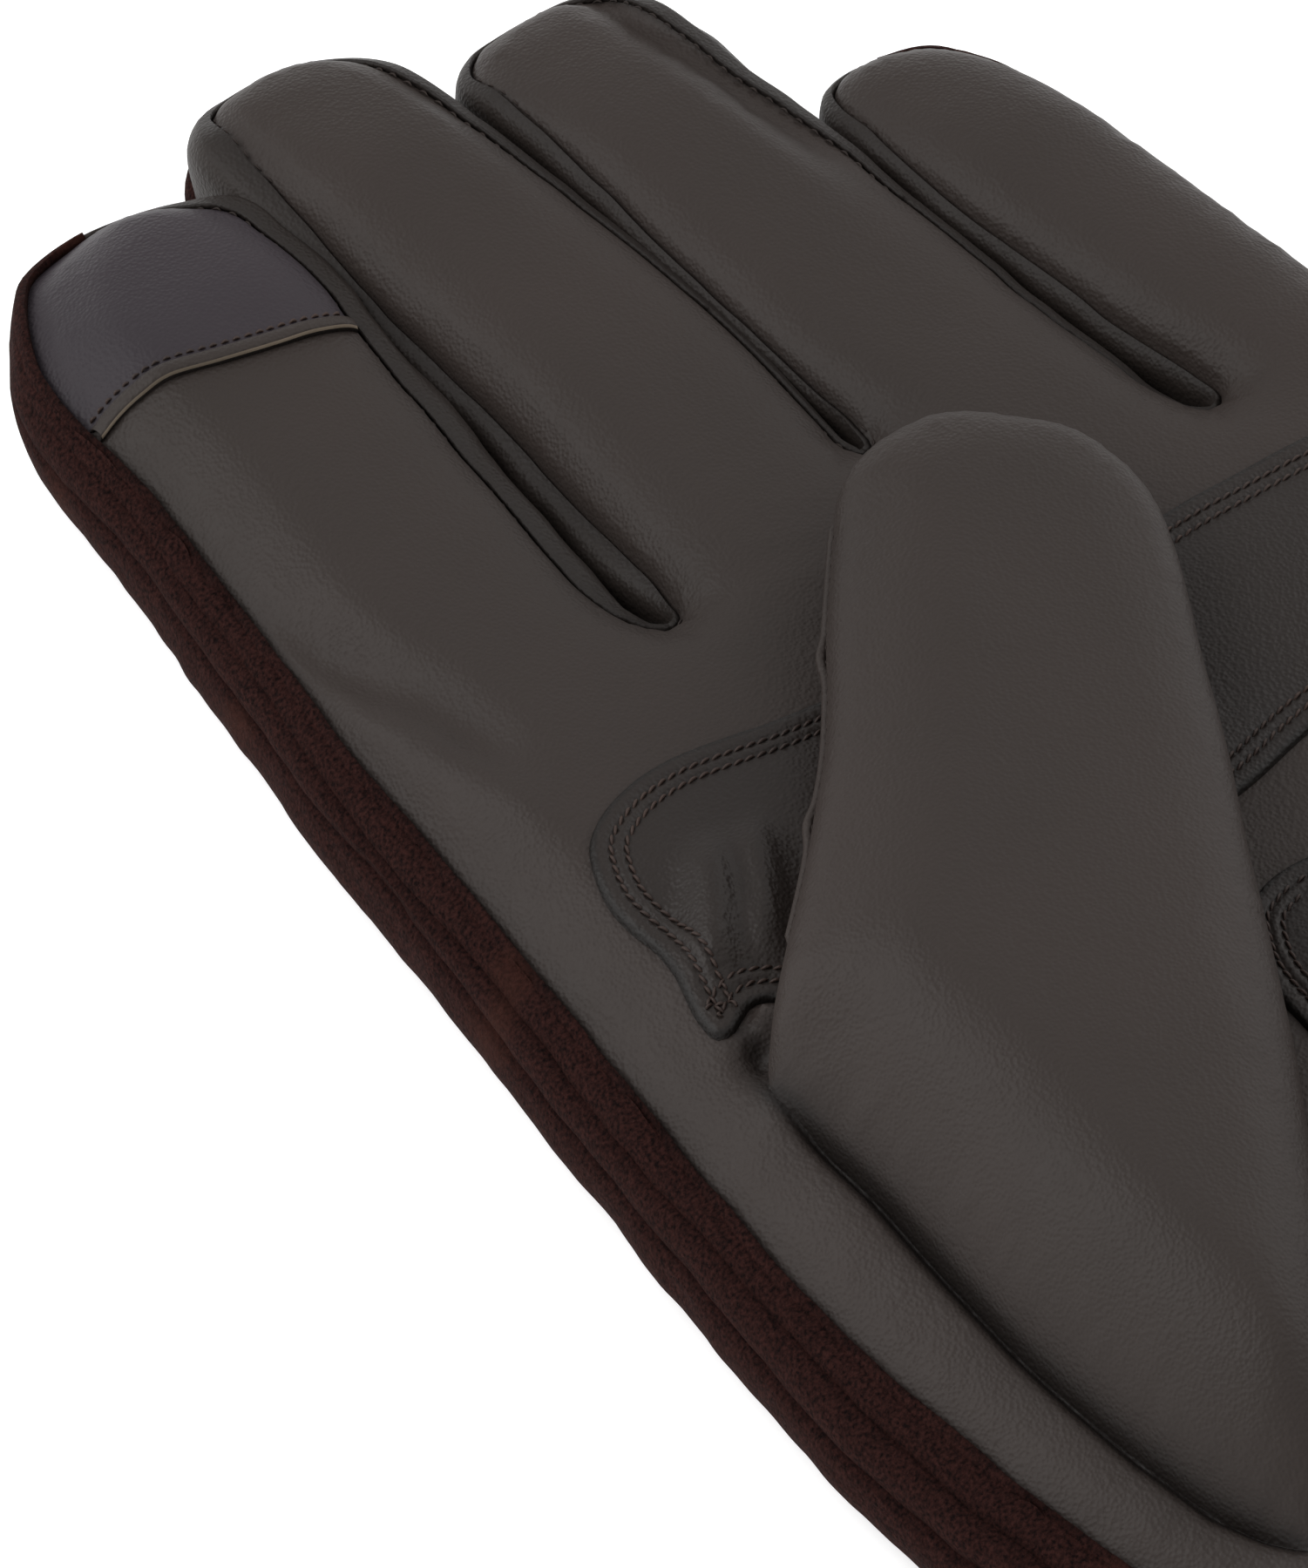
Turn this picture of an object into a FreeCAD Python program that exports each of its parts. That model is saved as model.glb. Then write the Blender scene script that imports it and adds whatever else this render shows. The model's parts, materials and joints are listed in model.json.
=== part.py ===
import FreeCAD, Part
import os, math
from FreeCAD import Vector, Placement, Rotation

# ---------------------------------------------------------------------------
# Left-hand leather glove lying on its suede back, palm up.
#   +Y towards the fingertips, -X the index-finger side, +X the little-finger
#   side, +Z out of the palm.  The back rests on z = 0.
# Every sewn panel is a thin shell piece of its own.  The glove folds at two
# creases in each finger and along the crease at the root of the thumb, so the
# panels are divided there and joined by hinges.
# ---------------------------------------------------------------------------
doc = FreeCAD.newDocument("glove")
sheet = doc.addObject("Spreadsheet::Sheet", "Dims")

DIMS = [
    # thickness of the materials
    ("leather_thick", 1.0), ("suede_thick", 1.2), ("lining_thick", 1.0),
    ("fourchette_thick", 0.9), ("ply_gap", 0.3),
    # heights
    ("finger_height", 16.0), ("palm_height", 17.0), ("seam_radius", 5.0),
    ("flex_axis_height", 12.0), ("patch_thick", 1.1), ("thread_height", 0.3),
    ("thread_width", 0.6), ("thumb_bottom", 18.8), ("thumb_top", 31.0),
    ("lining_low", 2.5), ("lining_high", 15.5),
    # clearances along a finger, either side of a flex crease
    ("leather_relief", 3.4), ("fourchette_relief", 0.5), ("suede_relief", 0.25),
    ("lining_relief", 3.2),
    # cuff
    ("cuff_end", -125.6), ("hem_depth", 8.0), ("elastic_width", 8.0),
    ("elastic_pos", -98.0), ("elastic_thick", 0.9),
    # index finger: base point, lean, lengths between the creases, widths
    ("index_base_x", -31.0), ("index_base_y", 54.0), ("index_lean", 10.5),
    ("index_base_len", 32.0), ("index_end_len", 37.0),
    ("index_width_a", 34.6), ("index_width_b", 32.6), ("index_width_c", 28.5),
    ("touch_tip_start", 10.0), ("tip_roll_width", 2.0), ("tip_roll_height", 0.9),
    ("middle_base_x", 2.6), ("middle_base_y", 54.0), ("middle_lean", 3.0),
    ("middle_base_len", 33.0), ("middle_end_len", 38.6),
    ("middle_width_a", 24.0), ("middle_width_b", 24.0), ("middle_width_c", 21.5),
    ("ring_base_x", 29.0), ("ring_base_y", 55.0), ("ring_lean", 2.0),
    ("ring_base_len", 27.0), ("ring_end_len", 31.0),
    ("ring_width_a", 24.2), ("ring_width_b", 23.4), ("ring_width_c", 20.5),
    ("little_base_x", 52.8), ("little_base_y", 38.0), ("little_lean", -1.0),
    ("little_base_len", 23.0), ("little_end_len", 25.7),
    ("little_width_a", 20.4), ("little_width_b", 19.8), ("little_width_c", 17.5),
]
for i, (name, value) in enumerate(DIMS, start=1):
    sheet.set("A%d" % i, name)
    sheet.set("B%d" % i, repr(float(value)))
    sheet.setAlias("B%d" % i, name)
doc.recompute()


def D(name):
    return float(getattr(sheet, name))


FINGERS = ["index", "middle", "ring", "little"]
TH, SU, LI = D("leather_thick"), D("suede_thick"), D("lining_thick")
FO, GAP, RC = D("fourchette_thick"), D("ply_gap"), D("seam_radius")
FH, PH = D("finger_height"), D("palm_height")

bodies = []          # every sub-part, in the order it is made


# ---- helpers --------------------------------------------------------------
def origin_plane(body, role):
    for f in body.Origin.OriginFeatures:
        if f.Role == role:
            return f
    raise RuntimeError("no plane " + role)


def new_body(label):
    b = doc.addObject("PartDesign::Body", label)
    b.Label = label
    if hasattr(b, "AllowCompound"):
        b.AllowCompound = True
    bodies.append(b)
    return b


counter = [0]


def sketch(body, role, offset, polys, size_expr=None):
    """Closed polygons on one of the body's own planes.
    offset: number or expression for the plane's shift along its normal.
    size_expr: (i, j, 'x' or 'y', expression) ties one distance to the sheet."""
    counter[0] += 1
    sk = body.newObject("Sketcher::SketchObject", "Sketch%03d" % counter[0])
    sk.AttachmentSupport = [(origin_plane(body, role), "")]
    sk.MapMode = "FlatFace"
    if isinstance(offset, str):
        sk.setExpression(".AttachmentOffset.Base.z", offset)
    else:
        sk.AttachmentOffset = Placement(Vector(0, 0, offset), Rotation())
    from Sketcher import Constraint
    n0 = 0
    for poly in polys:
        n = len(poly)
        geo = [Part.LineSegment(Vector(poly[k][0], poly[k][1], 0),
                                Vector(poly[(k + 1) % n][0], poly[(k + 1) % n][1], 0))
               for k in range(n)]
        sk.addGeometry(geo, False)
        sk.addConstraint([Constraint("Coincident", n0 + k, 2, n0 + (k + 1) % n, 1)
                          for k in range(n)])
        n0 += n
    if size_expr:
        i, j, way, expr, value = size_expr
        c = sk.addConstraint(Constraint("DistanceX" if way == "x" else "DistanceY",
                                        i, 1, j, 1, value))
        sk.renameConstraint(c, "size")
        sk.setExpression("Constraints.size", expr)
    return sk


def pad(body, sk, length_expr, reverse=False):
    counter[0] += 1
    p = body.newObject("PartDesign::Pad", "Pad%03d" % counter[0])
    p.Profile = sk
    p.setExpression("Length", length_expr)
    p.Reversed = reverse
    return p


def loft(body, sks, cut=False):
    counter[0] += 1
    kind = "PartDesign::SubtractiveLoft" if cut else "PartDesign::AdditiveLoft"
    lo = body.newObject(kind, "Loft%03d" % counter[0])
    lo.Profile = sks[0]
    lo.Sections = list(sks[1:])
    lo.Ruled = True
    return lo


# ---- rounded finger section, as polygon stations --------------------------
def station(sec, name, off):
    """A point on the section; sec = (width, low, high, radius), off = inwards."""
    w, zb, zt, r = sec
    cx = w / 2.0 - r
    side, ang = name
    c = {"TL": (-cx, zt - r), "TR": (cx, zt - r), "BL": (-cx, zb + r), "BR": (cx, zb + r)}[side]
    a = math.radians(ang)
    rr = r - off
    return (c[0] + rr * math.cos(a), c[1] + rr * math.sin(a))


TOP = [("TL", 180), ("TL", 150), ("TL", 120), ("TL", 90),
       ("TR", 90), ("TR", 60), ("TR", 30), ("TR", 0)]
BOT = [("BL", 180), ("BL", 210), ("BL", 240), ("BL", 270),
       ("BR", 270), ("BR", 300), ("BR", 330), ("BR", 360)]
BOT_L = [("TL", 180)] + BOT          # suede carried up the outer side of the index
BOT_R = BOT + [("TR", 0)]            # and of the little finger
RING = TOP + list(reversed(BOT))


def band(sec, stations, o1, o2):
    """Closed polygon of a strip between two offsets of the section."""
    a = [station(sec, s, o1) for s in stations]
    b = [station(sec, s, o2) for s in stations]
    return a + list(reversed(b))


def filled(sec, stations, off, extend=0.0):
    pts = [station(sec, s, off) for s in stations]
    if extend:
        first, last = pts[0], pts[-1]
        pts = [(first[0], first[1] + extend)] + pts + [(last[0], last[1] + extend)]
    return pts


def sides(sec, side, o2, lift=0.0):
    w, zb, zt, r = sec
    s = -1 if side == "L" else 1
    x1, x2 = s * w / 2.0, s * (w / 2.0 - o2)
    z1, z2 = zb + r + lift, zt - r
    return [(x1, z1), (x1, z2), (x2, z2), (x2, z1)]


def place(body, finger, along):
    """Put a piece in the finger's frame: origin at the finger's base crease."""
    a = math.radians(D(finger + "_lean"))
    body.Placement = Placement(Vector(0, 0, 0), Rotation(Vector(0, 0, 1), -D(finger + "_lean")))
    d = {None: "0 mm", "end": "Dims.%s_base_len * 1 mm" % finger}[along]
    body.setExpression(".Placement.Base.x",
                       "Dims.%s_base_x * 1 mm + (%s) * sin(Dims.%s_lean * 1 deg)" % (finger, d, finger))
    body.setExpression(".Placement.Base.y",
                       "Dims.%s_base_y * 1 mm + (%s) * cos(Dims.%s_lean * 1 deg)" % (finger, d, finger))


def xz(body, y_expr, poly, size=None):
    """Sketch across the finger at a distance along it (plane normal is -Y)."""
    return sketch(body, "XZ_Plane", "-(%s) * 1 mm" % y_expr, [poly], size)


# ---- the fingers ----------------------------------------------------------
for f in FINGERS:
    wa, wb, wc = D(f + "_width_a"), D(f + "_width_b"), D(f + "_width_c")
    L1, L2 = D(f + "_base_len"), D(f + "_end_len")
    sec_a = (wa, 0.0, FH, RC)
    sec_b = (wb, 0.0, FH, RC)
    sec_c = (wc, 0.6, FH - 0.6, RC)
    sec_d = (wc * 0.80, 2.2, FH - 2.0, RC)
    sec_e = (wc * 0.46, 4.6, FH - 4.6, 3.3)
    low = {"index": BOT_L, "little": BOT_R}.get(f, BOT)

    # base segment, from the base crease to the middle crease
    b = new_body(f + "_base_leather")
    loft(b, [xz(b, "Dims.leather_relief", band(sec_a, TOP, 0, TH)),
             xz(b, "(Dims.%s_base_len - Dims.leather_relief)" % f, band(sec_b, TOP, 0, TH))])
    place(b, f, None)
    b = new_body(f + "_base_suede")
    loft(b, [xz(b, "Dims.suede_relief", band(sec_a, low, 0, SU)),
             xz(b, "(Dims.%s_base_len - Dims.suede_relief)" % f, band(sec_b, low, 0, SU))])
    place(b, f, None)
    b = new_body(f + "_base_fourchette")
    for s in ("L", "R"):
        if (f, s) in (("index", "L"), ("little", "R")):
            continue
        loft(b, [xz(b, "Dims.fourchette_relief", sides(sec_a, s, FO)),
                 xz(b, "(Dims.%s_base_len - Dims.fourchette_relief)" % f, sides(sec_b, s, FO))])
    place(b, f, None)
    b = new_body(f + "_base_lining")
    o1, o2 = SU + GAP, SU + GAP + LI
    loft(b, [xz(b, "Dims.lining_relief", [station(sec_a, s, o1) for s in RING]),
             xz(b, "(Dims.%s_base_len - Dims.lining_relief)" % f, [station(sec_b, s, o1) for s in RING])])
    loft(b, [xz(b, "Dims.lining_relief", [station(sec_a, s, o2) for s in RING]),
             xz(b, "(Dims.%s_base_len - Dims.lining_relief)" % f, [station(sec_b, s, o2) for s in RING])], True)
    place(b, f, None)

    # end segment, from the middle crease to the closed tip
    def stack(b, stations, off, first, back, extend=0.0, start_sec=None):
        """Sections from `first` to the tip, inset by off and stopped short by back."""
        secs = [(first, start_sec or sec_b), ("(Dims.%s_end_len - 9)" % f, sec_c),
                ("(Dims.%s_end_len - 3.6)" % f, sec_d),
                ("(Dims.%s_end_len - %s)" % (f, back), sec_e)]
        return [xz(b, y, filled(s, stations, min(off, s[3] - 0.4), extend)) for y, s in secs]

    if f == "index":
        t0 = D("touch_tip_start")
        k = (t0 - 0) / (L2 - 9.0)
        sec_t = (wb + (wc - wb) * k, 0.6 * k, FH - 0.6 * k, RC)
        b = new_body("index_end_leather")
        loft(b, [xz(b, "Dims.leather_relief", band(sec_b, TOP, 0, TH)),
                 xz(b, "Dims.touch_tip_start", band(sec_t, TOP, 0, TH))])
        place(b, f, "end")
        b = new_body("index_tip_seam_roll")
        loft(b, [xz(b, "(Dims.touch_tip_start - Dims.tip_roll_width)",
                    band((sec_t[0] + 0.3, sec_t[1], sec_t[2] + 0.1, RC), TOP[:6], -0.9, -0.05)),
                 xz(b, "Dims.touch_tip_start", band(sec_t, TOP[:6], -0.9, -0.05))])
        place(b, f, "end")
        b = new_body("index_touch_tip")
        loft(b, stack(b, TOP, 0, "Dims.touch_tip_start", "0", start_sec=sec_t))
        loft(b, stack(b, TOP, TH, "(Dims.touch_tip_start - 0.01)", "Dims.leather_thick",
                      extend=-2.0, start_sec=sec_t), True)
        place(b, f, "end")
    else:
        b = new_body(f + "_end_leather")
        loft(b, stack(b, TOP, 0, "Dims.leather_relief", "0"))
        loft(b, stack(b, TOP, TH, "(Dims.leather_relief - 0.01)", "Dims.leather_thick", extend=-2.0), True)
        place(b, f, "end")
    b = new_body(f + "_end_suede")
    loft(b, stack(b, low, 0, "Dims.suede_relief", "0"))
    loft(b, stack(b, low, SU, "(Dims.suede_relief - 0.01)", "Dims.suede_thick", extend=2.0), True)
    place(b, f, "end")
    b = new_body(f + "_end_fourchette")
    for s in ("L", "R"):
        if (f, s) in (("index", "L"), ("little", "R")):
            continue
        # the suede that climbs the far side leaves a slanted edge on this one
        up = 0.45 if f in ("index", "little") else 0.05
        loft(b, [xz(b, "Dims.fourchette_relief", sides(sec_b, s, FO, up)),
                 xz(b, "(Dims.%s_end_len - 9)" % f, sides(sec_c, s, FO, up)),
                 xz(b, "(Dims.%s_end_len - 3.6)" % f, sides(sec_d, s, FO, up))])
    place(b, f, "end")
    b = new_body(f + "_end_lining")
    loft(b, [xz(b, "Dims.lining_relief", [station(sec_b, s, o1) for s in RING]),
             xz(b, "(Dims.%s_end_len - 10)" % f, [station(sec_c, s, o1 + 0.4) for s in RING]),
             xz(b, "(Dims.%s_end_len - 5.5)" % f, [station(sec_d, s, o1 + 0.4) for s in RING])])
    loft(b, [xz(b, "Dims.lining_relief - 0.01", [station(sec_b, s, o2) for s in RING]),
             xz(b, "(Dims.%s_end_len - 10)" % f, [station(sec_c, s, o2 + 0.4) for s in RING]),
             xz(b, "(Dims.%s_end_len - 6.6)" % f, [station(sec_d, s, o2 + 0.5) for s in RING])], True)
    place(b, f, "end")

# ---- the hand: outline with the four finger roots --------------------------
def hinge_ends(f, relief, inset=0.0):
    """Left and right ends of a finger's root edge, just short of the crease."""
    a = math.radians(D(f + "_lean"))
    cx, cy, w = D(f + "_base_x"), D(f + "_base_y"), D(f + "_width_a")
    ax, ay = math.sin(a), math.cos(a)
    bx, by = cx - relief * ax, cy - relief * ay
    hw = w / 2.0 - inset
    return ((bx - hw * ay, by + hw * ax), (bx + hw * ay, by - hw * ax))


CUFF = D("cuff_end")


def outline(relief, y_end=None):
    """Glove outline, anticlockwise from the cuff's left corner going right.
    Returns points and, for each edge, whether it is a sewn side (True) or an
    open edge (False)."""
    y0 = CUFF if y_end is None else y_end
    il, ir = hinge_ends("index", relief)
    ml, mr = hinge_ends("middle", relief)
    rl, rr = hinge_ends("ring", relief)
    ll, lr = hinge_ends("little", relief)
    right = [(43.0, y0), (41.0, -96.0), (45.0, -78.0), (53.0, -58.0), (60.5, -34.0),
             (64.1, -8.0), (64.1, 14.0), lr]
    # the cuff widens a little towards its mouth
    right[0] = (43.0 - 2.0 * (y0 - CUFF) / (-96.0 - CUFF), y0)
    pts = [(-46.0, y0)] + right
    pts += [ll, (42.65, 31.5), (42.0, 29.6), (41.35, 31.5), rr]
    pts += [rl, (16.5, 49.0), (15.6, 47.0), (14.7, 49.0), mr]
    pts += [ml, (-9.9, 46.0), (-12.2, 43.4), (-14.3, 46.0), ir]
    pts += [il, (-52.6, 28.0), (-55.6, 12.0), (-58.6, -5.0), (-62.2, -28.0), (-64.1, -44.0),
            (-62.0, -62.0), (-54.0, -80.0), (-46.0, -96.0)]
    n = len(pts)
    open_edges = set()
    for a_, b_ in (((-46.0, y0), right[0]), (lr, ll), (rr, rl), (mr, ml), (ir, il)):
        for k in range(n):
            if pts[k] == a_ and pts[(k + 1) % n] == b_:
                open_edges.add(k)
    return pts, [k not in open_edges for k in range(n)]


def inset(pts, sewn, d):
    """Move the sewn edges inwards by d, open edges stay (polygon anticlockwise)."""
    n = len(pts)
    lines = []
    for k in range(n):
        (x1, y1), (x2, y2) = pts[k], pts[(k + 1) % n]
        L = math.hypot(x2 - x1, y2 - y1)
        nx, ny = -(y2 - y1) / L, (x2 - x1) / L
        dd = d if sewn[k] else 0.0
        lines.append(((x1 + nx * dd, y1 + ny * dd), (x2 - x1, y2 - y1)))
    out = []
    for k in range(n):
        (p, u), (q, v) = lines[k - 1], lines[k]
        det = u[0] * (-v[1]) + v[0] * u[1]
        if abs(det) < 1e-9:
            out.append(q)
            continue
        rx, ry = q[0] - p[0], q[1] - p[1]
        s = (rx * (-v[1]) + v[0] * ry) / det
        out.append((p[0] + u[0] * s, p[1] + u[1] * s))
    return out


def wall_strips(pts, sewn, d0, d1):
    """Closed polygons of the sewn side walls between two insets, one per chain."""
    a, b = inset(pts, sewn, d0), inset(pts, sewn, d1)
    n = len(pts)
    chains, k0 = [], next(k for k in range(n) if not sewn[k])
    cur = []
    for step in range(1, n + 1):
        k = (k0 + step) % n
        if sewn[k]:
            cur.append(k)
        else:
            if cur:
                chains.append(cur)
            cur = []
    out = []
    for ch in chains:
        idx = ch + [(ch[-1] + 1) % n]
        out.append([a[i] for i in idx] + [b[i] for i in reversed(idx)])
    return out


# order of the chains: right side, ring/little web, middle/ring web, index/middle web, left side
pts_s, sewn_s = outline(D("suede_relief"))
walls_s = wall_strips(pts_s, sewn_s, 0.0, SU)
b = new_body("back_suede")
pad(b, sketch(b, "XY_Plane", 0.0, [pts_s]), "Dims.suede_thick * 1 mm")
for w in (walls_s[0], walls_s[4]):
    pad(b, sketch(b, "XY_Plane", "Dims.suede_thick * 1 mm", [w]),
        "(Dims.palm_height - Dims.leather_thick - Dims.suede_thick) * 1 mm")

THUMB_HOLE = [(-46.0, -58.0), (-38.0, -58.0), (-38.0, -15.0), (-46.0, -15.0)]
pts_l, sewn_l = outline(D("leather_relief"))
b = new_body("palm_leather")
pad(b, sketch(b, "XY_Plane", "(Dims.palm_height - Dims.leather_thick) * 1 mm", [pts_l, THUMB_HOLE]),
    "Dims.leather_thick * 1 mm")

pts_f, sewn_f = outline(D("fourchette_relief"))
walls_f = wall_strips(pts_f, sewn_f, 0.0, FO)
for name, k in (("ring_little_fourchette_root", 1), ("middle_ring_fourchette_root", 2),
                ("index_middle_fourchette_root", 3)):
    b = new_body(name)
    pad(b, sketch(b, "XY_Plane", "Dims.suede_thick * 1 mm", [walls_f[k]]),
        "(Dims.palm_height - Dims.leather_thick - Dims.suede_thick) * 1 mm")

# lining sleeve of the hand: back sheet with its side walls, and palm sheet
LEND = CUFF + D("hem_depth") + 0.4
pts_n, sewn_n = outline(D("lining_relief"), LEND)
lin = inset(pts_n, sewn_n, SU + GAP)
walls_n = wall_strips(pts_n, sewn_n, SU + GAP, SU + GAP + LI)
b = new_body("back_lining")
pad(b, sketch(b, "XY_Plane", "Dims.lining_low * 1 mm", [lin]), "Dims.lining_thick * 1 mm")
for w in walls_n:
    pad(b, sketch(b, "XY_Plane", "(Dims.lining_low + Dims.lining_thick) * 1 mm", [w]),
        "(Dims.lining_high - Dims.lining_low - 2 * Dims.lining_thick) * 1 mm")
b = new_body("palm_lining")
pad(b, sketch(b, "XY_Plane", "(Dims.lining_high - Dims.lining_thick) * 1 mm",
              [lin, [(-45.5, -57.5), (-38.5, -57.5), (-38.5, -15.5), (-45.5, -15.5)]]),
    "Dims.lining_thick * 1 mm")

# hem turned inside the cuff mouth: a flat ring lying against the shell
hl, hr = -46.0 + SU + 0.05, 43.0 - SU - 0.05
b = new_body("cuff_hem")
z1, z2 = SU, PH - TH
ring_in = [(hl + 1.0, z1 + 1.0), (hr - 1.0, z1 + 1.0), (hr - 1.0, z2 - 1.0), (hl + 1.0, z2 - 1.0)]
# the right side leans in a little towards the wrist
hr2 = 43.0 - 2.0 * D("hem_depth") / (-96.0 - CUFF) - SU - 0.05


def hem_section(x_r):
    return [(hl, z1), (x_r, z1), (x_r, z2), (hl, z2)]


loft(b, [sketch(b, "XZ_Plane", "-Dims.cuff_end * 1 mm", [hem_section(hr)]),
         sketch(b, "XZ_Plane", "-(Dims.cuff_end + Dims.hem_depth) * 1 mm", [hem_section(hr2)])])
loft(b, [sketch(b, "XZ_Plane", "-(Dims.cuff_end - 0.5) * 1 mm", [ring_in]),
         sketch(b, "XZ_Plane", "-(Dims.cuff_end + Dims.hem_depth + 0.5) * 1 mm", [ring_in])], True)

# woven elastic sewn across the inside of the back at the wrist
b = new_body("wrist_elastic")
pad(b, sketch(b, "XY_Plane", "Dims.suede_thick * 1 mm",
              [[(-38.0, -98.0), (34.0, -98.0), (34.0, -90.0), (-38.0, -90.0)]],
              (0, 3, "y", "Dims.elastic_width * 1 mm", 8.0)), "Dims.elastic_thick * 1 mm")

# ---- grip patches on the palm ---------------------------------------------
PATCH = [(-44.0, 2.6), (-39.5, 0.4), (-32.0, -1.8), (-24.0, -3.6), (-12.0, -6.0),
         (0.0, -7.9), (10.0, -8.6), (19.0, -8.2), (34.0, -8.2), (47.0, -7.6), (54.0, -4.8), (57.6, 1.0),
         (57.6, 8.5), (54.8, 13.8), (49.0, 16.4), (43.5, 17.5), (32.0, 19.0), (22.0, 19.8), (10.0, 21.0),
         (-4.0, 23.2), (-14.4, 25.3), (-21.2, 27.3), (-26.9, 28.5), (-31.0, 28.5), (-35.6, 27.4),
         (-39.0, 24.7), (-41.3, 20.2), (-42.6, 13.0)]
HEEL = [(5.0, -17.4), (0.4, -18.6), (-3.0, -22.6), (-5.0, -31.0), (-4.0, -44.0), (2.0, -58.0), (12.0, -68.5),
        (24.0, -73.0), (35.0, -72.5), (44.0, -66.0), (50.5, -54.0), (55.0, -40.0), (56.6, -28.0),
        (54.2, -22.0), (46.0, -19.6), (24.0, -18.8)]


def closed_inset(poly, d):
    area = sum(poly[k][0] * poly[(k + 1) % len(poly)][1] - poly[(k + 1) % len(poly)][0] * poly[k][1]
               for k in range(len(poly)))
    p = poly if area > 0 else list(reversed(poly))
    return inset(p, [True] * len(p), d)


for name, poly in (("palm_patch", PATCH), ("heel_patch", HEEL)):
    b = new_body(name)
    pad(b, sketch(b, "XY_Plane", "Dims.palm_height * 1 mm", [poly]), "Dims.patch_thick * 1 mm")
    b = new_body(name + "_stitching")
    for d in (1.7, 3.0):
        pad(b, sketch(b, "XY_Plane", "(Dims.palm_height + Dims.patch_thick) * 1 mm",
                      [closed_inset(poly, d), closed_inset(poly, d + D("thread_width"))]),
            "Dims.thread_height * 1 mm")

# ---- the thumb, folded over the palm ---------------------------------------
# base along the crease at the left, tip towards the middle finger's root
T_BASE0, T_BASE1 = (-47.6, -72.0), (-47.6, -8.0)
T_RIGHT = [(-34.0, -66.0), (-24.0, -55.0), (-15.2, -41.5), (-7.9, -31.0), (1.6, -16.5),
           (12.6, 0.3), (19.5, 11.4), (22.6, 20.0), (21.6, 28.6), (17.2, 34.8), (10.4, 38.2), (4.6, 38.9)]
T_LEFT = [(-10.0, 25.7), (-24.1, 11.5), (-37.3, 0.0)]
TB, TT = D("thumb_bottom"), D("thumb_top")

t_out = [T_BASE0] + T_RIGHT + T_LEFT + [T_BASE1]          # anticlockwise
nT = len(t_out)
R1 = len(T_RIGHT)                                          # last vertex of the right side, the tip
sewn_t = [True] * nT
sewn_t[nT - 1] = False                                     # base edge stays open


def strip(poly, sewn, i0, i1, d0, d1):
    a, c = inset(poly, sewn, d0), inset(poly, sewn, d1)
    idx = list(range(i0, i1 + 1))
    return [a[i] for i in idx] + [c[i] for i in reversed(idx)]


# front leather: the upper sheet from x = -40 on, the rolled right side, and the
# sloped foot that comes down to the crease
X_FOOT = -40.0


def clip_x(poly, x0):
    out = []
    n = len(poly)
    for k in range(n):
        p, q = poly[k], poly[(k + 1) % n]
        if p[0] >= x0:
            out.append(p)
        if (p[0] - x0) * (q[0] - x0) < 0:
            s = (x0 - p[0]) / (q[0] - p[0])
            out.append((x0, p[1] + s * (q[1] - p[1])))
    return out


top_poly = clip_x(t_out, X_FOOT)
b = new_body("thumb_front_leather")
pad(b, sketch(b, "XY_Plane", "(Dims.thumb_top - Dims.leather_thick) * 1 mm", [top_poly]),
    "Dims.leather_thick * 1 mm")
pad(b, sketch(b, "XY_Plane", "Dims.thumb_bottom * 1 mm",
              [strip(t_out, sewn_t, 1, R1 + 0, 0.0, TH)]),
    "(Dims.thumb_top - Dims.thumb_bottom - Dims.leather_thick) * 1 mm")
# sloped foot, its section drawn across the glove and run along the crease
foot = [(-47.6, TB), (-46.4, TB), (X_FOOT + 0.5, TT - TH), (X_FOOT + 0.5, TT), (X_FOOT, TT)]
y_lo = min(p[1] for p in top_poly if abs(p[0] - X_FOOT) < 1e-6)
y_hi = max(p[1] for p in top_poly if abs(p[0] - X_FOOT) < 1e-6)
sk_foot = sketch(b, "XZ_Plane", -y_lo, [foot])
doc.recompute()
p_ = pad(b, sk_foot, "%r mm" % (y_hi - y_lo), True)

# back leather of the thumb: the lower sheet and the left side under the seam
bot_poly = clip_x(inset(t_out, sewn_t, TH + 0.05), -37.0)
b = new_body("thumb_back_leather")
pad(b, sketch(b, "XY_Plane", "Dims.thumb_bottom * 1 mm", [bot_poly]), "Dims.leather_thick * 1 mm")
left_strip = strip(t_out, sewn_t, R1, nT - 1, TH + 0.05, 2 * TH + 0.05)
pad(b, sketch(b, "XY_Plane", "(Dims.thumb_bottom + Dims.leather_thick) * 1 mm",
              [clip_x(left_strip, -39.4)]),
    "(Dims.thumb_top - Dims.thumb_bottom - 2 * Dims.leather_thick) * 1 mm")

# lining of the thumb, a closed tube that is open towards the root
l_out = clip_x(inset(t_out, sewn_t, 2 * TH + 0.35), -36.8)
l_in = clip_x(inset(t_out, sewn_t, 2 * TH + 0.35 + LI), -37.5)
b = new_body("thumb_lining")
pad(b, sketch(b, "XY_Plane", TB + TH + GAP, [l_out]),
    "(Dims.thumb_top - Dims.thumb_bottom - 2 * Dims.leather_thick - 2 * Dims.ply_gap) * 1 mm")
counter[0] += 1
sk = sketch(b, "XY_Plane", TT - TH - GAP - LI, [l_in])
pk = b.newObject("PartDesign::Pocket", "Pocket%03d" % counter[0])
pk.Profile = sk
pk.setExpression("Length", "(Dims.thumb_top - Dims.thumb_bottom - 2 * Dims.leather_thick - 2 * Dims.ply_gap"
                           " - 2 * Dims.lining_thick) * 1 mm")
pk.Reversed = False

# seam along the thumb's left edge, from the crease to the tip
b = new_body("thumb_seam_stitching")
seam = clip_x(strip(t_out, sewn_t, R1, nT - 1, -0.8, -0.05), -39.4)
pad(b, sketch(b, "XY_Plane", 24.6, [seam]), "Dims.thread_width * 1 mm")

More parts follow.
